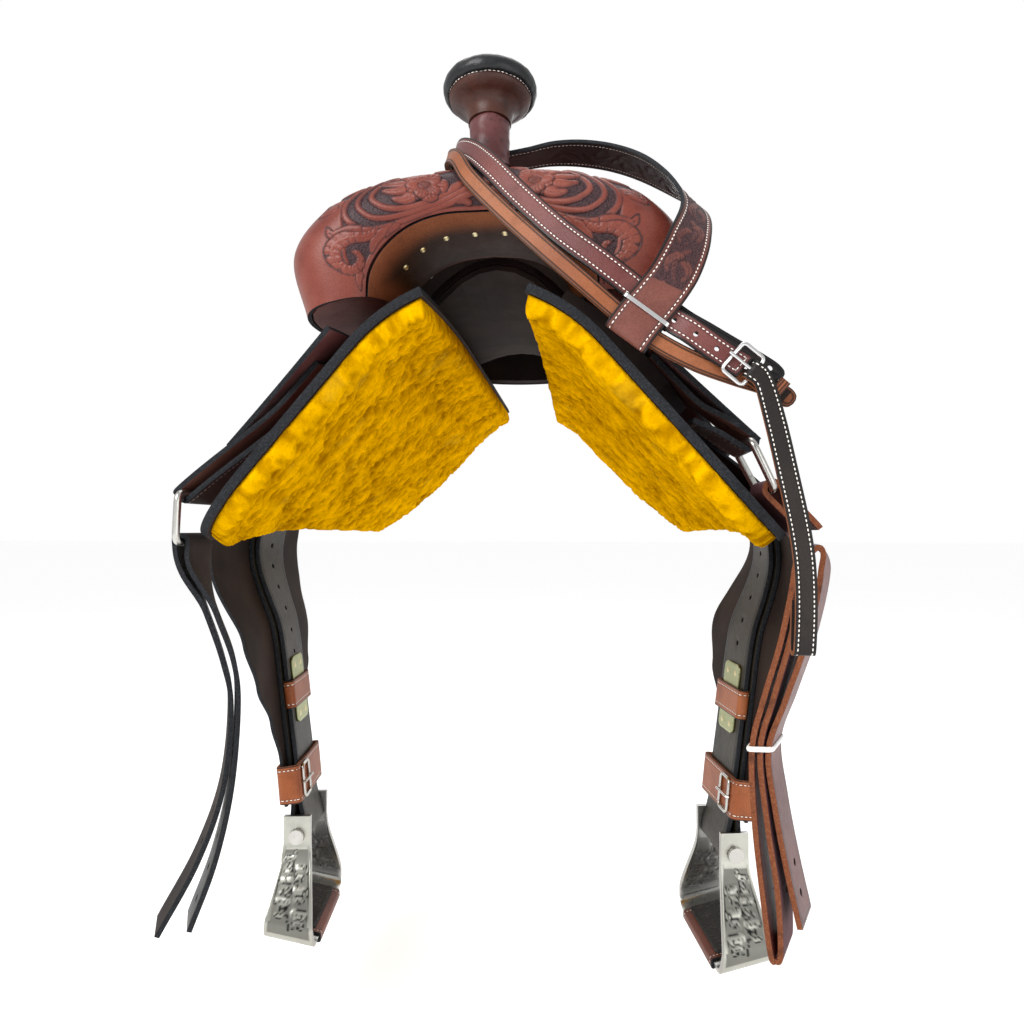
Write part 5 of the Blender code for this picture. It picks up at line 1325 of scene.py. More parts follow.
def hang_at(t):
    """Point of the inner run and its outward normal, in the (x, z) plane."""
    run = (spline_at(HANG_LINE, t + 0.003) - spline_at(HANG_LINE, t - 0.003)).normalized()
    return spline_at(HANG_LINE, t), Vector((-run.y, run.x))


def twisted(flat, w, name, side):
    """Point w behind the leathers' centre line, turned with the leather about the inner run."""
    turn = TURN[name] * ramp(flat.y, -0.20, -0.30)
    axis_x = spline_at(HANG_LINE, t_at(flat.y)).x if turn else flat.x
    out = flat.x - axis_x
    x = axis_x + out * cos(turn) - w * sin(turn)
    return Vector((side * x, MID_Y + out * sin(turn) + w * cos(turn), flat.y))


def on_hang(z, w, rise, name, side):
    """Point over the inner run at a height z of that run."""
    here, out = hang_at(t_at(z))
    return twisted(here + out * rise, w, name, side)


def bolt_centre():
    """Point (x, z) of the axis of the stirrup's bolt."""
    here, _ = hang_at(t_at(HOBBLE_LOW_Z))
    return Vector((here.x + (OUTER_RUN - INNER_RUN) / 2 - 0.0030, BOLT_Z))


def leather_loop():
    """Flat (x, z) points of the stirrup leather, closed round the bar's strip and the bolt's sleeve."""
    half = LEATHER_THICK / 2
    under = STRAP_CHANNEL - SEAT_GAP - half
    over = BAR_THICK + DRAPE_GAP + 2 * SEAT_GAP + half
    reach = 0.026 + half
    top = PIVOT_ALONG - reach
    low = PIVOT_ALONG + reach
    fold = [(top + 0.003, under + 0.0006), (top, (under + over) / 2 - 0.003), (top, (under + over) / 2 + 0.003),
            (top + 0.003, over - 0.0006)]
    outer_high = [(PIVOT_ALONG - 0.012, over), (PIVOT_ALONG + 0.012, over), (low, over - 0.0008),
                  (0.066, 0.0156), (0.085, OUTER_RUN)]
    inner_high = [(0.085, INNER_RUN), (0.066, 0.0062), (low - 0.002, under + 0.0002), (PIVOT_ALONG + 0.012, under),
                  (PIVOT_ALONG - 0.012, under)]
    points = [on_slope(*p) for p in fold + outer_high]
    for z in RUN_Z:
        here, out = hang_at(t_at(z))
        points.append(here + out * (OUTER_RUN - INNER_RUN))
    centre = bolt_centre()
    for angle in (10, -25, -60, -90, -120, -155, -190):
        points.append(centre + Vector((cos(radians(angle)), sin(radians(angle)))) * (SLEEVE_RADIUS + 0.0004 + half))
    points += [hang_at(t_at(z))[0] for z in reversed(RUN_Z)]
    points += [on_slope(*p) for p in inner_high]
    return points + points[:1]


def closed_at(loop, t):
    """Point at t on the smooth closed curve through a loop whose last point is its first."""
    wide = [loop[-2]] + loop + [loop[1]]
    return spline_at(wide, (1 + t * (len(loop) - 1)) / (len(wide) - 1))


fender_finish = leather("fender_leather_finish", (0.011, 0.008, 0.007), (0.004, 0.003, 0.003),
                        (0.026, 0.018, 0.014), stitch=(0.0060, 0.0085), groove=(0.0115,), rough=0.40, coat=0.2)
olive_leather = leather("stirrup_leather_finish", (0.020, 0.016, 0.009), (0.008, 0.006, 0.004),
                        (0.040, 0.032, 0.019), groove=(0.0035, 0.0050), rough=0.45, mottle=0.8)
olive_flesh = flesh("stirrup_leather_flesh", (0.024, 0.019, 0.012), (0.055, 0.044, 0.029))
tan_face = leather("hobble_leather", (0.250, 0.066, 0.020), (0.115, 0.028, 0.009), (0.36, 0.120, 0.044),
                   stitch=(0.0042,), rough=0.42, edge=0.0010)
tan_plain = leather("tan_leather_finish", (0.240, 0.072, 0.026), (0.120, 0.033, 0.011), (0.34, 0.125, 0.056),
                    groove=(0.0022,), rough=0.42, edge=0.0008)
tan_flesh = flesh("tan_flesh_side", (0.190, 0.068, 0.032), (0.32, 0.145, 0.080))
tan_edge = raw_edge("tan_edge", (0.170, 0.052, 0.018), (0.28, 0.110, 0.045))
plate_brass = metal("buckle_plate_brass", (0.36, 0.38, 0.20), 0.30, (0.52, 0.53, 0.34), (0.07, 0.09, 0.035), 0.05)


def soften(points, reach, steps=5):
    """Closed line with each corner rounded over reach on both sides."""
    line = [Vector(p) for p in points]
    made = []
    for k, corner in enumerate(line):
        back = line[k - 1] - corner
        ahead = line[(k + 1) % len(line)] - corner
        start = corner + back.normalized() * min(reach, back.length * 0.48)
        end = corner + ahead.normalized() * min(reach, ahead.length * 0.48)
        for n in range(steps + 1):
            t = n / steps
            made.append(start * (1 - t) ** 2 + corner * (2 * t * (1 - t)) + end * t ** 2)
    return made


def round_plate(u, v, wide, high, corner):
    """Place (across, up) on a plate with rounded corners, from a square of u and v."""
    up = mix(-high / 2, high / 2, v)
    end = high / 2 - abs(up)
    half = wide / 2
    if end < corner:
        half = wide / 2 - corner + sqrt(max(0.0, corner ** 2 - (corner - end) ** 2))
    return (u - 0.5) * 2 * half, up


for name, side in SIDES:
    body = "leathers_" + name
    off_side = side < 0
    loop = leather_loop()
    holes = []
    for k in range(HOLES[name][1]):
        z = HOLES[name][0] - HOLE_STEP * k
        here = on_hang(z, 0, 0, name, side)
        holes.append((here, on_hang(z, 0, 0.01, name, side) - here, 0.0026))

    def leather_spot(u, v):
        return twisted(closed_at(loop, u), LEATHER_WIDTH * (v - 0.5), name, side)

    leather_sheet("stirrup_leather_" + name, 200, 10, leather_spot, LEATHER_THICK,
                  (olive_leather, olive_flesh, black_edge), body, flip=off_side, ring=True,
                  holes=holes)
    rise = FENDER_RUN - INNER_RUN

    def fender_spot(u, v):
        z = mix(RUN_Z[-1], RUN_Z[0], v)
        w = mix(-table(z, FENDER_FRONT), table(z, FENDER_REAR), u)
        return on_hang(z, w, rise, name, side)

    leather_sheet("fender_" + name, 44, 84, fender_spot, FENDER_THICK, (fender_finish, dark_flesh, black_edge), body,
                  flip=off_side)
    half = LEATHER_THICK / 2
    plate_rise = -half - SEAT_GAP - PLATE_THICK / 2
    plate_mid = (BUCKLE_HIGH_Z + BUCKLE_LOW_Z) / 2

    def plate_spot(u, v):
        w, up = round_plate(u, v, 0.040, BUCKLE_HIGH_Z - BUCKLE_LOW_Z, 0.006)
        return on_hang(plate_mid + up, w, plate_rise, name, side)

    leather_sheet("buckle_plate_" + name, 16, 24, plate_spot, PLATE_THICK, (plate_brass,), body,
                  flip=off_side)
    for k, (z, w) in enumerate(PIN_PLACES):
        face = on_hang(z, w, plate_rise - PLATE_THICK / 2, name, side)
        stud(f"plate_pin_{name}_{k}", face, face - on_hang(z, w, plate_rise, name, side), 0.0030, 0.0004, nail_brass,
             body)

    def ring_sheet(piece, low_rise, high_rise, half_width, high_z, low_z, thick, own_body, cols):
        """Tan band that goes round the leathers between two heights."""
        flat_loop = soften([(low_rise, -half_width), (low_rise, half_width), (high_rise, half_width),
                            (high_rise, -half_width)], min(0.004, (high_rise - low_rise) * 0.42))
        closed = flat_loop + flat_loop[:1]
        lengths = [0.0]
        for a, b in zip(closed, closed[1:]):
            lengths.append(lengths[-1] + (b - a).length)

        def band_spot(u, v):
            want = (u % 1.0) * lengths[-1]
            k = max(n for n in range(len(lengths) - 1) if lengths[n] <= want)
            share = (want - lengths[k]) / max(1e-9, lengths[k + 1] - lengths[k])
            place = mix(closed[k], closed[k + 1], share)
            return on_hang(mix(low_z, high_z, v), place.y, place.x, name, side)

        leather_sheet(piece + name, cols, 14, band_spot, thick, (tan_face, tan_flesh, tan_edge), own_body,
                      ring=True, flip=not off_side)

    ring_sheet("buckle_sleeve_", plate_rise - PLATE_THICK / 2 - 0.0006 - SLEEVE_THICK / 2, half + SLEEVE_THICK,
               LEATHER_WIDTH / 2 + SLEEVE_THICK, SLEEVE_HIGH_Z, SLEEVE_LOW_Z, SLEEVE_THICK, "sleeve_" + name, 110)
    hobble_half = HOBBLE_THICK / 2
    ring_sheet("hobble_strap_", -half - DRAPE_GAP - hobble_half, rise + FENDER_THICK / 2 + DRAPE_GAP + hobble_half,
               FENDER_NECK + 0.0012 + hobble_half, HOBBLE_HIGH_Z, HOBBLE_LOW_Z, HOBBLE_THICK, body, 130)
    middle = (HOBBLE_HIGH_Z + HOBBLE_LOW_Z) / 2
    frame_rise = -half - DRAPE_GAP - HOBBLE_THICK - SEAT_GAP - 0.0014
    corners = [(-0.036, -0.016), (-0.036, 0.016), (-0.014, 0.016), (-0.014, -0.016)]
    points = soften([on_hang(middle + z, w, frame_rise, name, side) for w, z in corners], 0.0055)
    inward = on_hang(middle, -0.025, frame_rise - 0.01, name, side) - on_hang(middle, -0.025, frame_rise, name, side)
    put("hobble_buckle_" + name, tube(points, 0.0016, 12, inward, cyclic=True), (nickel,), body,
        sharp=80)
    dress("hobble_tongue_" + name, nickel)


# Stirrups: bars of cast aluminium, polished, bent round and bolted through the neck, with scrolls engraved down
# their outer faces. The tread is wrapped in red-brown leather, laced shut below, under a ribbed rubber pad.
NECK_WIDTH = 0.0666
TREAD_LENGTH = 0.134
STIRRUP_METAL = 0.005
STIRRUP_DROP = 0.093
EAR_RISE = 0.020
LEG_TOP_WIDTH = 0.027
TREAD_WIDTH = 0.048
TREAD_SLANT = 0.24
WRAP_THICK = 0.002
PAD_THICK = 0.003
BOLT_RADIUS = 0.0040
FRAME_COLS = 260
FRAME_ROWS = 26
RIB_STEP = 0.0042

ear = NECK_WIDTH / 2 + STIRRUP_METAL / 2
foot = TREAD_LENGTH / 2
half_outline = [(ear, EAR_RISE), (ear, 0.008), (ear, -0.008), (ear + 0.004, -0.024), (mix(ear, foot, 0.55), -0.048),
                (foot - 0.002, -0.070), (foot, -STIRRUP_DROP + 0.014), (foot - 0.004, -STIRRUP_DROP + 0.004),
                (foot - 0.015, -STIRRUP_DROP), (foot - 0.035, -STIRRUP_DROP), (0, -STIRRUP_DROP)]
outline = [Vector((-y, z)) for y, z in half_outline] + [Vector((y, z)) for y, z in reversed(half_outline[:-1])]
engraved = engrave("engraved_aluminium", (0.46, 0.46, 0.41), (0.018, 0.020, 0.018), 0.24)
polished = engrave("polished_aluminium", (0.40, 0.40, 0.38), (0.05, 0.05, 0.048), 0.20)
rubber = Finish("ribbed_rubber")
rubber_tone = rubber.blend(rubber.speckle(300.0).ease(0.5, 0.7) * 0.5, (0.012, 0.012, 0.012), (0.05, 0.048, 0.045))
rubber_finish = rubber.show(rubber_tone, rubber.speckle(500.0) * 0.2 + 0.6, rubber.speckle(800.0) * 0.0002)
wrap_leather = leather("tread_wrap_leather", (0.130, 0.036, 0.020), (0.055, 0.014, 0.008), (0.20, 0.066, 0.038),
                       stitch=(0.0045,), pitch=0.0034, rough=0.46, edge=0.0008)


def lengths_along(points, count):
    """Length of the smooth curve through the points, up to each of count + 1 even steps."""
    runs = [0.0]
    for k in range(1, count + 1):
        runs.append(runs[-1] + (spline_at(points, k / count) - spline_at(points, (k - 1) / count)).length)
    return np.array(runs)


def carve_stirrup(bm):
    """Engraves a vine with leaves on both legs, inside a line along each edge."""
    runs = lengths_along(outline, FRAME_COLS)
    p, q = np.meshgrid(np.linspace(0, 1, FRAME_ROWS + 1) - 0.5, np.minimum(runs, runs[-1] - runs), indexing="ij")
    z = np.array([spline_at(outline, i / FRAME_COLS).y for i in range(FRAME_COLS + 1)])
    wide = LEG_TOP_WIDTH + (TREAD_WIDTH - LEG_TOP_WIDTH) * np.clip(-z / STIRRUP_DROP, 0, 1) ** 1.5
    p = p * wide
    work = Carving(p, q)
    work.frond([(0.000, 0.034), (0.004, 0.048), (-0.003, 0.064), (0.004, 0.082), (0.000, 0.104)], 0.0016)
    for k in range(6):
        base = 0.040 + 0.010 * k
        size = 1 + 0.10 * k
        way = -size if k % 2 else size
        work.frond([(way / size * 0.001, base), (0.005 * way, base + 0.003), (0.0095 * way, base + 0.002),
                    (0.0125 * way, base + 0.008)], 0.0030 * size, lobes=3)
        work.curl(0.0060 * way, base + 0.0115, 0.0036 * size, 0.5, way / size, 0.0013, 0.9, 0.5)
    edge = wide / 2 - np.abs(p)
    panel = (edge > 0.0032) * (q > 0.033) * (q < 0.112)
    line = np.exp(-((edge - 0.0026) / 0.0004) ** 2) * (q > 0.030) * (q < 0.115)
    leaf = work.leaf * panel
    press(bm, np.where(leaf > 0, work.height * 0.5, -0.0004 * panel) - 0.0003 * line,
          np.clip(np.where(leaf > 0, work.ink, 0.55 * panel) + line, 0, 1))


def round_loop(loop, u):
    """Point at u on the closed line of short straight stretches through a loop of points."""
    place = (u % 1.0) * len(loop)
    k = min(int(place), len(loop) - 1)
    return mix(loop[k], loop[(k + 1) % len(loop)], place - k)


for name, side in SIDES:
    body = "stirrup_" + name
    centre = bolt_centre()
    out = centre.x - spline_at(HANG_LINE, 1.0).x
    origin = Vector((side * (centre.x + out * (cos(TURN[name]) - 1)), MID_Y, centre.y))
    turn = Matrix.Rotation(side * TURN[name], 4, "Z")

    def frame_spot(u, v):
        y, z = spline_at(outline, u)
        z = max(z, -STIRRUP_DROP)
        width = mix(LEG_TOP_WIDTH, TREAD_WIDTH, ramp(-z, 0.0, STIRRUP_DROP))
        x = side * width * (v - 0.5)
        share = ramp(-z, 0.02, STIRRUP_DROP)
        return origin + turn @ Vector((x, y, z + TREAD_SLANT * side * x * share))

    bolt_way = turn @ Vector((0, 1, 0))
    bores = [(origin + bolt_way * (ear * k), bolt_way, BOLT_RADIUS + 0.0003) for k in (-1, 1)]
    leather_sheet("stirrup_frame_" + name, FRAME_COLS, FRAME_ROWS, frame_spot, STIRRUP_METAL,
                  (engraved, polished, polished), body, flip=side < 0, carve=carve_stirrup,
                  round_by=0.0011, holes=bores)
    dress("stirrup_bolt_" + name, nickel)
    wrap_half = WRAP_THICK / 2
    reach_x = TREAD_WIDTH / 2 + SEAT_GAP + wrap_half
    reach_z = STIRRUP_METAL / 2 + SEAT_GAP + wrap_half
    wrap_loop = soften([(reach_x, reach_z), (-reach_x, reach_z), (-reach_x, -reach_z), (reach_x, -reach_z)], 0.0018, 4)
    wrap_length = TREAD_LENGTH - 0.044

    def wrap_spot(u, v):
        x, z = round_loop(wrap_loop, u)
        return origin + turn @ Vector((side * x, wrap_length * (v - 0.5), -STIRRUP_DROP + z + TREAD_SLANT * x))

    leather_sheet("tread_leather_" + name, 76, 44, wrap_spot, WRAP_THICK, (wrap_leather, dark_flesh, black_edge), body,
                  ring=True, flip=side > 0)
    pad_low = STIRRUP_METAL / 2 + WRAP_THICK + 3 * SEAT_GAP
    slope = Matrix.Rotation(-side * atan2(TREAD_SLANT, 1), 4, "Y")
    pad_wide, pad_long = TREAD_WIDTH - 0.010, wrap_length - 0.008

    def pad_spot(low):
        def spot(u, v):
            x, y = round_plate(u, v, pad_wide, pad_long, 0.004)
            rib = 0.5 + 0.5 * cos(2 * pi * y / RIB_STEP)
            high = PAD_THICK - 0.0011 * (1 - rib ** 0.7) * (min(u, 1 - u) * pad_wide > 0.002)
            flat = Vector((x, y, pad_low if low else pad_low + high))
            return origin + Vector((0, 0, -STIRRUP_DROP)) + turn @ (slope @ flat)

        return spot

    pad = slab(22, 160, pad_spot(False), pad_spot(True), lambda u, v: (v, min(u, 1 - u)))
    put("tread_pad_" + name, pad, (rubber_finish,), body, sharp=40)


# Rigging: a black strap on each side, folded round a nickel D ring. The oxblood latigo hangs in a hank from the
# near ring, tied with a white band; the doubled black billet hangs from the off one.
RIG_Y = -0.240
RIG_WIDTH = 0.044
STRAP_THICK = 0.004
BAR_LOW_S = 0.150
DEE_WIRE = 0.0030
DEE_WIDTH = 0.060
DEE_DEPTH = 0.040
LATIGO_WIDTH = 0.040
BILLET_WIDTH = 0.036
DEE_PLACE = {"near": (SKIRT_LENGTH - 0.076, 0.0235, radians(64)), "off": (SKIRT_LENGTH - 0.0225, 0.0275, radians(84))}
FOLD_TURNS = [radians(k) for k in (0, 45, 90, 135, 180)]
EYE = DEE_WIRE + 0.0008 + STRAP_THICK / 2
LATIGO_FALL = radians(47.3)
LATIGO_TURN = radians(25)
BILLET_TURN = radians(28)
TIE_DROP = 0.1930

black_strap = leather("rigging_leather", (0.012, 0.009, 0.008), (0.004, 0.004, 0.004), (0.030, 0.022, 0.019),
                      stitch=(0.0050,), rough=0.42)
brown_flesh = flesh("rigging_flesh_side", (0.120, 0.048, 0.034), (0.22, 0.105, 0.080))
black_plain = leather("billet_leather", (0.011, 0.009, 0.008), (0.004, 0.004, 0.004), (0.028, 0.022, 0.019),
                      groove=(0.0028,), rough=0.42)
latigo_face = leather("latigo_leather", (0.095, 0.018, 0.016), (0.042, 0.008, 0.008), (0.150, 0.042, 0.034),
                      groove=(0.0030,), rough=0.40, edge=0.0004, coat=0.2)
latigo_flesh = flesh("latigo_flesh_side", (0.070, 0.026, 0.032), (0.140, 0.065, 0.072))
orange_edge = raw_edge("latigo_edge", (0.160, 0.046, 0.018), (0.26, 0.095, 0.042))


def dee_bars(name):
    """Centres (x, z) of a D ring's upper bar and of its lower bar, and the ring's direction down."""
    s, rise, fall = DEE_PLACE[name]
    upper = drape(s, RIG_Y, rise).xz
    down = Vector((cos(fall), -sin(fall)))
    return upper, upper + down * DEE_DEPTH, down


def fold_round(bar, down):
    """Strap's way round a bar, from its outer side over the top to its inner side, and the direction outwards."""
    out = Vector((-down.y, down.x))
    return [bar + out * (EYE * cos(a)) - down * (EYE * sin(a)) for a in FOLD_TURNS], out


def row_spot(points, place_at):
    """Sheet whose rows are placed by place_at(point, v), with points evenly read along u."""
    return lambda u, v: place_at(spline_at(points, u), v)


over_bar = BAR_THICK + 2 * DRAPE_GAP + STRAP_THICK / 2
for name, side in SIDES:
    dee_s, dee_rise, _ = DEE_PLACE[name]
    fold = [(dee_s + EYE * sin(a), dee_rise + EYE * cos(a)) for a in FOLD_TURNS]
    first = (BAR_LOW_S, over_bar + 0.0006)
    last = (BAR_LOW_S + 0.008, 0.0075)
    path = [(0.100, over_bar), (0.125, over_bar), first]
    path += [(mix(first[0], fold[0][0], k / 3), mix(first[1], fold[0][1], k / 3)) for k in (1, 2)]
    path += fold
    path += [(mix(fold[-1][0], last[0], k / 3), mix(fold[-1][1], last[1], k / 3)) for k in (1, 2, 3)]
    path = [Vector(p) for p in path]

    def rigging_place(point, v):
        s, rise = point
        w = RIG_WIDTH * (v - 0.5)
        square = drape(s, RIG_Y, rise, side) + Vector((0, w, 0))
        return mix(drape(s, RIG_Y + w, rise, side), square, ramp(s, BAR_LOW_S, dee_s - 0.015))

    leather_sheet("rigging_" + name, 110, 20, row_spot(path, rigging_place), STRAP_THICK,
                  (black_strap, brown_flesh, black_edge), "saddle", flip=side < 0)
    upper, lower, _ = dee_bars(name)
    wide = DEE_WIDTH / 2
    narrow = 0.86 * wide
    corners = [(-wide, 0), (wide, 0), (0.92 * wide, 0.62), (narrow, 1.0), (-narrow, 1.0), (-0.92 * wide, 0.62)]
    points = []
    for y, share in corners:
        flat = mix(upper, lower, share)
        points.append(Vector((side * flat.x, RIG_Y + y, flat.y)))
    ring_way = (points[1] - points[0]).cross(points[3] - points[0])
    put("dee_" + name, tube(soften(points, 0.0075), DEE_WIRE, 18, ring_way, cyclic=True), (nickel,), "ring_" + name,
        sharp=80)


def hung_strap(name, side, flats, width, finishes, lean, lean_z, cols, holes, flip=False):
    """Strap along (x, z) points, its width along the horse, turned by lean about the vertical lower down."""

    def place(point, v):
        turn = lean * ramp(point.y, *lean_z)
        w = width * (v - 0.5)
        return Vector((side * (point.x + w * sin(turn)), RIG_Y + w * cos(turn), point.y))

    leather_sheet(name, cols, 12, row_spot(flats, place), STRAP_THICK, finishes, name, flip=flip, holes=holes)


_, lower, _ = dee_bars("near")
down = Vector((cos(LATIGO_FALL), -sin(LATIGO_FALL)))
fold, out = fold_round(lower, down)
stub = [lower + down * 0.045 + out * EYE, lower + down * 0.022 + out * EYE]
run_in = [lower + down * 0.014 - out * EYE, lower + down * 0.028 - out * (EYE - 0.0002)]
hank = [lower + Vector(p) for p in (
    (0.0230, -0.0382), (0.0246, -0.0522), (0.0214, -0.0772), (0.0126, -0.1172), (0.0006, -0.1572),
    (-0.0079, -0.1942), (-0.0064, -0.2472), (-0.0014, -0.2972), (0.0041, -0.3422), (0.0076, -0.3482),
    (0.0116, -0.3422), (0.0096, -0.2972), (0.0026, -0.2472), (-0.0019, -0.1942), (0.0076, -0.1572),
    (0.0191, -0.1172), (0.0281, -0.0772), (0.0316, -0.0522), (0.0376, -0.0432), (0.0431, -0.0522),
    (0.0406, -0.0772), (0.0306, -0.1172), (0.0166, -0.1572), (0.0041, -0.1942), (0.0086, -0.2372),
    (0.0166, -0.2822), (0.0256, -0.3242),
)]
latigo_way = Vector((cos(LATIGO_TURN), -sin(LATIGO_TURN), 0))
leaf_hole = Vector((lower.x + 0.0166, RIG_Y, lower.y - 0.2822))
hung_strap("latigo", 1, stub + fold + run_in + hank, LATIGO_WIDTH, (latigo_face, latigo_flesh, orange_edge),
           LATIGO_TURN, (lower.y - 0.0232, lower.y - 0.0622), 330,
           [(leaf_hole + Vector((0.0014 * k, 0, -0.022 * k)), latigo_way, 0.0028) for k in (0, 1)])
tie = [Vector((lower.x + x + w * sin(LATIGO_TURN), RIG_Y + w * cos(LATIGO_TURN), lower.y - TIE_DROP))
       for x, w in soften([(-0.0110, -0.0212), (-0.0110, 0.0212), (0.0072, 0.0212), (0.0072, -0.0212)], 0.004)]
plastic = Finish("white_plastic")
plastic_tone = plastic.blend(plastic.speckle(120.0).ease(0.5, 0.7) * 0.4, (0.86, 0.86, 0.84), (0.70, 0.69, 0.66))
tie_finish = plastic.show(plastic_tone, plastic.speckle(400.0) * 0.1 + 0.3)
put("latigo_tie", tube(tie, 0.0013, 10, (0, 0, 1), cyclic=True, squeeze=1.6), (tie_finish,), "latigo",
    sharp=80)

_, lower, down = dee_bars("off")
fold, _ = fold_round(lower, down)
outer_leaf = [lower + Vector(p) for p in (
    (0.0264, -0.3175), (-0.0073, -0.2568), (-0.0283, -0.1973), (-0.0343, -0.1328), (-0.0273, -0.0968),
    (-0.0123, -0.0568), (0.0012, -0.0268))]
inner_leaf = [lower + Vector(p) for p in (
    (-0.0063, -0.0218), (-0.0223, -0.0608), (-0.0363, -0.0968), (-0.0403, -0.1328), (-0.0353, -0.1973),
    (-0.0218, -0.2568), (-0.0009, -0.3118))]
billet_holes = []
for k in range(6):
    t = k / 5
    place = Vector((-lower.x - mix(-0.0395, -0.0125, t ** 1.3), RIG_Y, lower.y - mix(0.165, 0.290, t)))
    billet_holes.append((place, Vector((cos(BILLET_TURN), sin(BILLET_TURN), 0.25)), 0.0026))
hung_strap("off_billet", -1, outer_leaf + fold + inner_leaf, BILLET_WIDTH, (black_plain, dark_flesh, black_edge),
           BILLET_TURN, (lower.y - 0.0068, lower.y - 0.0568), 190, billet_holes, flip=True)


# Straps hung on the horn: a wide tooled band with a bar of silver, a tan strap, a burgundy strap with double white
# stitching and its buckle, a long black strap through that buckle, and a thin black strap.
TACK_THICK = 0.003
BAND_WIDTH = 0.034
TAN_WIDTH = 0.013
STITCHED_WIDTH = 0.0175
FRONT_PLANE_Y = -0.3062
TACK_BUCKLE = Vector((0.1868, -0.3145, -0.0805))
TACK_ALONG = Vector((0.75, 0, -0.66)).normalized()
TACK_ACROSS = Vector((0.66, 0, 0.75)).normalized()
TACK_BUCKLE_HALF = (0.009, 0.0118)
TACK_WIRE = 0.0013

band_finish = leather("band_leather", (0.120, 0.034, 0.026), (0.050, 0.013, 0.010), (0.21, 0.078, 0.060),
                      stitch=(0.0038,), edge=0.0014, rough=0.38, carved=True, coat=0.2, pitch=0.0034)
band_back = leather("band_lining_leather", (0.022, 0.010, 0.009), (0.009, 0.005, 0.005), (0.042, 0.020, 0.018),
                    stitch=(0.0038,), edge=0.0014, rough=0.5, pitch=0.0034)
stitched_finish = leather("stitched_strap_leather", (0.115, 0.031, 0.029), (0.050, 0.012, 0.012), (0.19, 0.068, 0.060),
                          stitch=(0.0032,), pitch=0.0034, rough=0.38, edge=0.0011, coat=0.2)
black_face = leather("hanging_strap_leather", (0.012, 0.009, 0.008), (0.005, 0.004, 0.004), (0.030, 0.022, 0.018),
                     stitch=(0.0022,), pitch=0.0032, rough=0.40, edge=0.0006)


def tack_strap(name, points, ways, width, finishes, cols, body="saddle", carve=None,
               holes=(), rows=12, point_end=0.0):
    """Strap through the points, its width direction read from as many directions; its end can be pointed."""
    line = [Vector(p) for p in points]
    turns = [Vector(p).normalized() for p in ways]

    def spot(u, v):
        wide = width
        if point_end and u > 1 - point_end:
            share = (u - 1 + point_end) / point_end
            wide = width * (0.25 + 0.75 * sqrt(max(0.0, 1 - share ** 2)))
        return spline_at(line, u) + spline_at(turns, u).normalized() * (wide * (v - 0.5))

    leather_sheet(name, cols, rows, spot, TACK_THICK, finishes, body, carve=carve, holes=holes)


BAND_POINTS = (
    (-0.0030, -0.1768, 0.1340), (0.0120, -0.1768, 0.1360), (0.0310, -0.1775, 0.1385), (0.0535, -0.1800, 0.1402),
    (0.0791, -0.1860, 0.1360), (0.1053, -0.1960, 0.1255), (0.1290, -0.2140, 0.1065), (0.1500, -0.2400, 0.0780),
    (0.1620, -0.2700, 0.0480), (0.1550, -0.2960, 0.0160), (0.1440, -0.3070, -0.0115), (0.1320, -0.3101, -0.0295),
    (0.1197, -0.3101, -0.0440), (0.1110, -0.3101, -0.0553), (0.1093, -0.3090, -0.0576),
    (0.1086, -0.3062, -0.0584), (0.1093, -0.3034, -0.0576), (0.1110, -0.3023, -0.0553),
    (0.1175, -0.3023, -0.0470), (0.1240, -0.3023, -0.0390))
BAND_COLS = 420
BAND_ROWS = 34
LEAF_STEP = 0.030


def carve_band(bm):
    """Tools a chain of leaves along the band, between its two rows of stitches."""
    runs = lengths_along([Vector(p) for p in BAND_POINTS], BAND_COLS)
    p, q = np.meshgrid((np.linspace(0, 1, BAND_ROWS + 1) - 0.5) * BAND_WIDTH, runs, indexing="ij")
    work = Carving(p, q)
    for k in range(2, int(runs[-1] / LEAF_STEP)):
        way = 1 if k % 2 else -1
        for points, width, lobes in (
            (((-0.004, -0.006), (0.003, 0.002), (0.002, 0.014), (-0.005, 0.024)), 0.0018, 0),
            (((0.000, 0.000), (0.006, 0.003), (0.0085, 0.010), (0.005, 0.017)), 0.0034, 3),
            (((-0.001, 0.006), (-0.006, 0.008), (-0.009, 0.014), (-0.006, 0.021)), 0.0032, 3),
        ):
            work.frond([(x * way, k * LEAF_STEP + y) for x, y in points], width, lobes=lobes)
    edge = BAND_WIDTH / 2 - np.abs(p)
    panel = (edge > 0.0058) * (q > 0.012) * (q < runs[-1] - 0.075)
    line = np.exp(-((edge - 0.0054) / 0.0004) ** 2) * (q < runs[-1] - 0.030)
    leaf = work.leaf * panel
    press(bm, np.where(leaf > 0, work.height * 0.55, -0.0003 * panel),
          np.clip(np.where(leaf > 0, work.ink * 0.9, 0.92 * panel) + 0.8 * line, 0, 1))


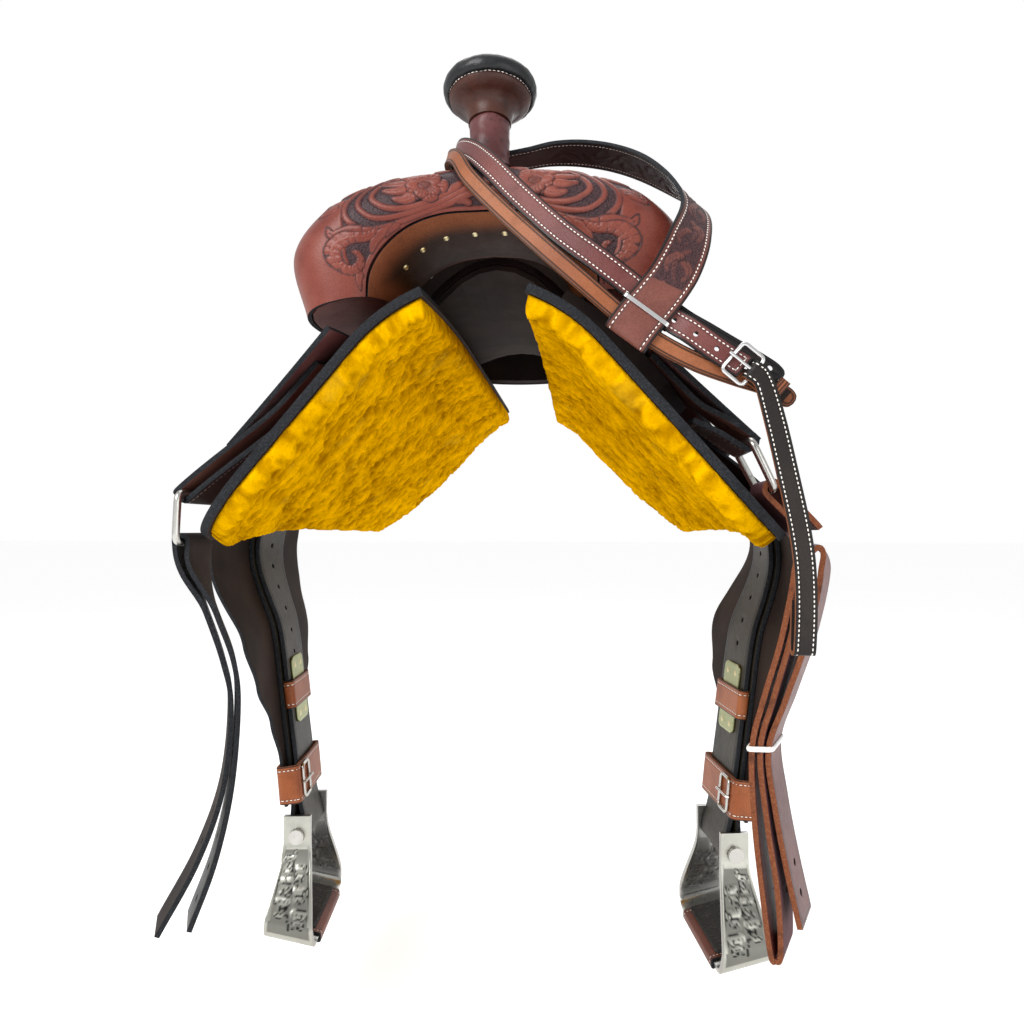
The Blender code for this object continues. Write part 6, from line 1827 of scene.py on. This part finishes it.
tack_strap("collar_band", BAND_POINTS, (
    (0, 1, 0), (0, 1, 0), (-0.05, 1, 0), (-0.1, 0.97, -0.08), (-0.12, 0.97, -0.12), (-0.10, 0.97, -0.12),
    (0.0, 0.97, -0.10), (0.25, 0.93, -0.05), (0.62, 0.77, 0.0), (0.88, 0.45, -0.10), (0.90, 0.18, -0.30),
    (0.85, 0.0, -0.50), *[(0.79, 0, -0.61)] * 8),
    BAND_WIDTH, (band_finish, band_back, black_edge), BAND_COLS, carve=carve_band, rows=BAND_ROWS)
tack_strap("tan_strap", (
    (-0.0335, -0.2050, 0.1150), (-0.0330, -0.2250, 0.1150), (-0.0275, -0.2430, 0.1095), (-0.0190, -0.2600, 0.0985),
    (-0.0075, -0.2740, 0.0765), (0.0176, -0.2860, 0.0460), (0.0481, -0.3000, 0.0123),
    (0.0765, FRONT_PLANE_Y, -0.0157), (0.1070, FRONT_PLANE_Y, -0.0435), (0.1310, FRONT_PLANE_Y, -0.0620),
    (0.1570, FRONT_PLANE_Y, -0.0765), (0.1835, FRONT_PLANE_Y, -0.0870), (0.2059, FRONT_PLANE_Y, -0.0950),
    (0.2224, FRONT_PLANE_Y, -0.1058)), (
    (0.1, 0, 1), (0.2, 0, 1), (0.5, 0, 0.86), (0.66, 0, 0.75), (0.71, 0, 0.70), (0.71, 0, 0.70), (0.68, 0, 0.73),
    (0.66, 0, 0.75), (0.62, 0, 0.78), (0.52, 0, 0.85), (0.42, 0, 0.91), (0.42, 0, 0.91), (0.50, 0, 0.87),
    (0.55, 0, 0.84)),
    TAN_WIDTH, (tan_plain, tan_flesh, tan_edge), 260, point_end=0.03,
    holes=[(Vector((0.1960 + 0.0085 * k, FRONT_PLANE_Y, -0.0918 - 0.0036 * k)), Vector((0, 1, 0)), 0.0013)
           for k in range(3)])


def on_buckle(along, across, ahead=0.0):
    """Point in the plane of the straps' buckle, ahead of that plane by so much."""
    return TACK_BUCKLE + TACK_ALONG * along + TACK_ACROSS * across + Vector((0, -ahead, 0))


tip = on_buckle(0.0025, 0)
tack_strap("stitched_strap", (
    (-0.0050, -0.1880, 0.1200), (-0.0220, -0.1960, 0.1205), (-0.0285, -0.2120, 0.1215), (-0.0230, -0.2310, 0.1215),
    (-0.0090, -0.2530, 0.1080), (0.0085, -0.2740, 0.0850), (0.0325, -0.2870, 0.0549), (0.0623, -0.3000, 0.0217),
    (0.0904, FRONT_PLANE_Y, -0.0029), (0.1181, FRONT_PLANE_Y, -0.0261), (0.1400, -0.3066, -0.0460),
    (0.1530, -0.3105, -0.0560), (0.1710, -0.3113, -0.0700), (tip.x, -0.3113, tip.z)), (
    (0, 0, 1), (0.05, 0, 1), (0.15, 0, 1), (0.35, 0, 0.93), (0.58, 0, 0.81), (0.71, 0, 0.70), (0.71, 0, 0.70),
    (0.68, 0, 0.73), (0.66, 0, 0.75), (0.66, 0, 0.75), (0.64, 0, 0.77), (0.62, 0, 0.78), (0.64, 0, 0.77),
    (0.66, 0, 0.75)),
    STITCHED_WIDTH, (stitched_finish, band_back, black_edge), 280,
    holes=[(Vector((x, -0.3080, z)), Vector((0, 1, 0)), 0.0018)
           for x, z in ((0.1290, -0.0368), (0.1420, -0.0476), (0.1560, -0.0586), (0.1700, -0.0692))])
half_long, half_wide = TACK_BUCKLE_HALF
frame_points = [on_buckle(half_long * x, half_wide * y) for x, y in ((1, -1), (1, 1), (-1, 1), (-1, -1))]
put("tack_buckle", tube(soften(frame_points, 0.0035), TACK_WIRE + 0.0002, 12, (0, 1, 0), cyclic=True), (silver,),
    "saddle", sharp=80)
dress("tack_tongue", silver)

wrap = TACK_WIRE + SEAT_GAP + TACK_THICK / 2 + 0.0002
fold = [on_buckle(half_long - wrap * sin(radians(a)), 0, -wrap * cos(radians(a))) for a in (0, 45, 90, 135, 180)]
run = [on_buckle(half_long + 0.028, 0, -wrap), on_buckle(half_long + 0.010, 0, -wrap)] + fold
run += [on_buckle(half_long + 0.006, 0, wrap)] + [Vector(p) for p in (
    (0.2015, -0.3185, -0.1000), (0.2080, -0.3180, -0.1250), (0.2150, -0.3170, -0.1560), (0.2215, -0.3165, -0.1870),
    (0.2255, -0.3160, -0.2150), (0.2265, -0.3155, -0.2450), (0.2255, -0.3150, -0.2720), (0.2250, -0.3125, -0.2755),
    (0.2250, -0.3090, -0.2750), (0.2252, -0.3072, -0.2700), (0.2260, -0.3080, -0.2400))]
hang_ways = [TACK_ACROSS] * 8 + [Vector(p) for p in (
    (0.80, 0, 0.60), (0.93, 0, 0.36), (0.97, 0, 0.24), (0.98, 0, 0.20), (0.99, 0, 0.12), (1, 0, 0.03),
    *[(1, 0, 0)] * 5)]
tack_strap("hanging_strap", run, hang_ways, 0.0140, (black_face, dark_flesh, tan_edge), 280, "hanging_strap")
tack_strap("thin_strap", (
    (0.1380, -0.2975, -0.0330), (0.1522, -0.2990, -0.0445), (0.1650, -0.3005, -0.0530), (0.1792, -0.3015, -0.0625),
    (0.1992, -0.3024, -0.0755), (0.2165, -0.3026, -0.0872)), (
    (0.60, 0, 0.80), (0.58, 0, 0.81), (0.55, 0, 0.83), (0.52, 0, 0.85), (0.50, 0, 0.87), (0.46, 0, 0.89)),
    0.0110, (black_plain, brown_flesh, black_edge), 80, point_end=0.12,
    holes=[(Vector((0.2075, -0.3025, -0.0812)), Vector((0, 1, 0)), 0.0020)])


# Small fittings of the hung straps: a bar of silver across the wide band's fold, and a keeper of tan leather that
# holds the straps flat beside the buckle.
def keeper(name, centre, along, across, wide, deep, length, thick, finishes):
    """Flat loop of leather or metal round a strap."""
    loop = soften([(-wide / 2, -deep / 2), (wide / 2, -deep / 2), (wide / 2, deep / 2), (-wide / 2, deep / 2)],
                  min(deep * 0.4, 0.002), 3)
    normal = along.cross(across).normalized()

    def spot(u, v):
        w, d = round_loop(loop, u)
        return centre + across * w + normal * d + along * (length * (v - 0.5))

    leather_sheet(name, 60, 8, spot, thick, finishes, "saddle", ring=True)


keeper("band_bar", Vector((0.1225, -0.3065, -0.0408)), Vector((-0.61, 0, -0.79)).normalized(),
       Vector((0.79, 0, -0.61)).normalized(), BAND_WIDTH + 0.0035, 0.0125, 0.0030, 0.0012, (silver,))
keeper("tan_keeper", on_buckle(half_long + 0.020, 0, -0.0008), TACK_ALONG, TACK_ACROSS, 0.0172, 0.0092, 0.0070, 0.0014,
       (tan_plain, tan_flesh, tan_edge))
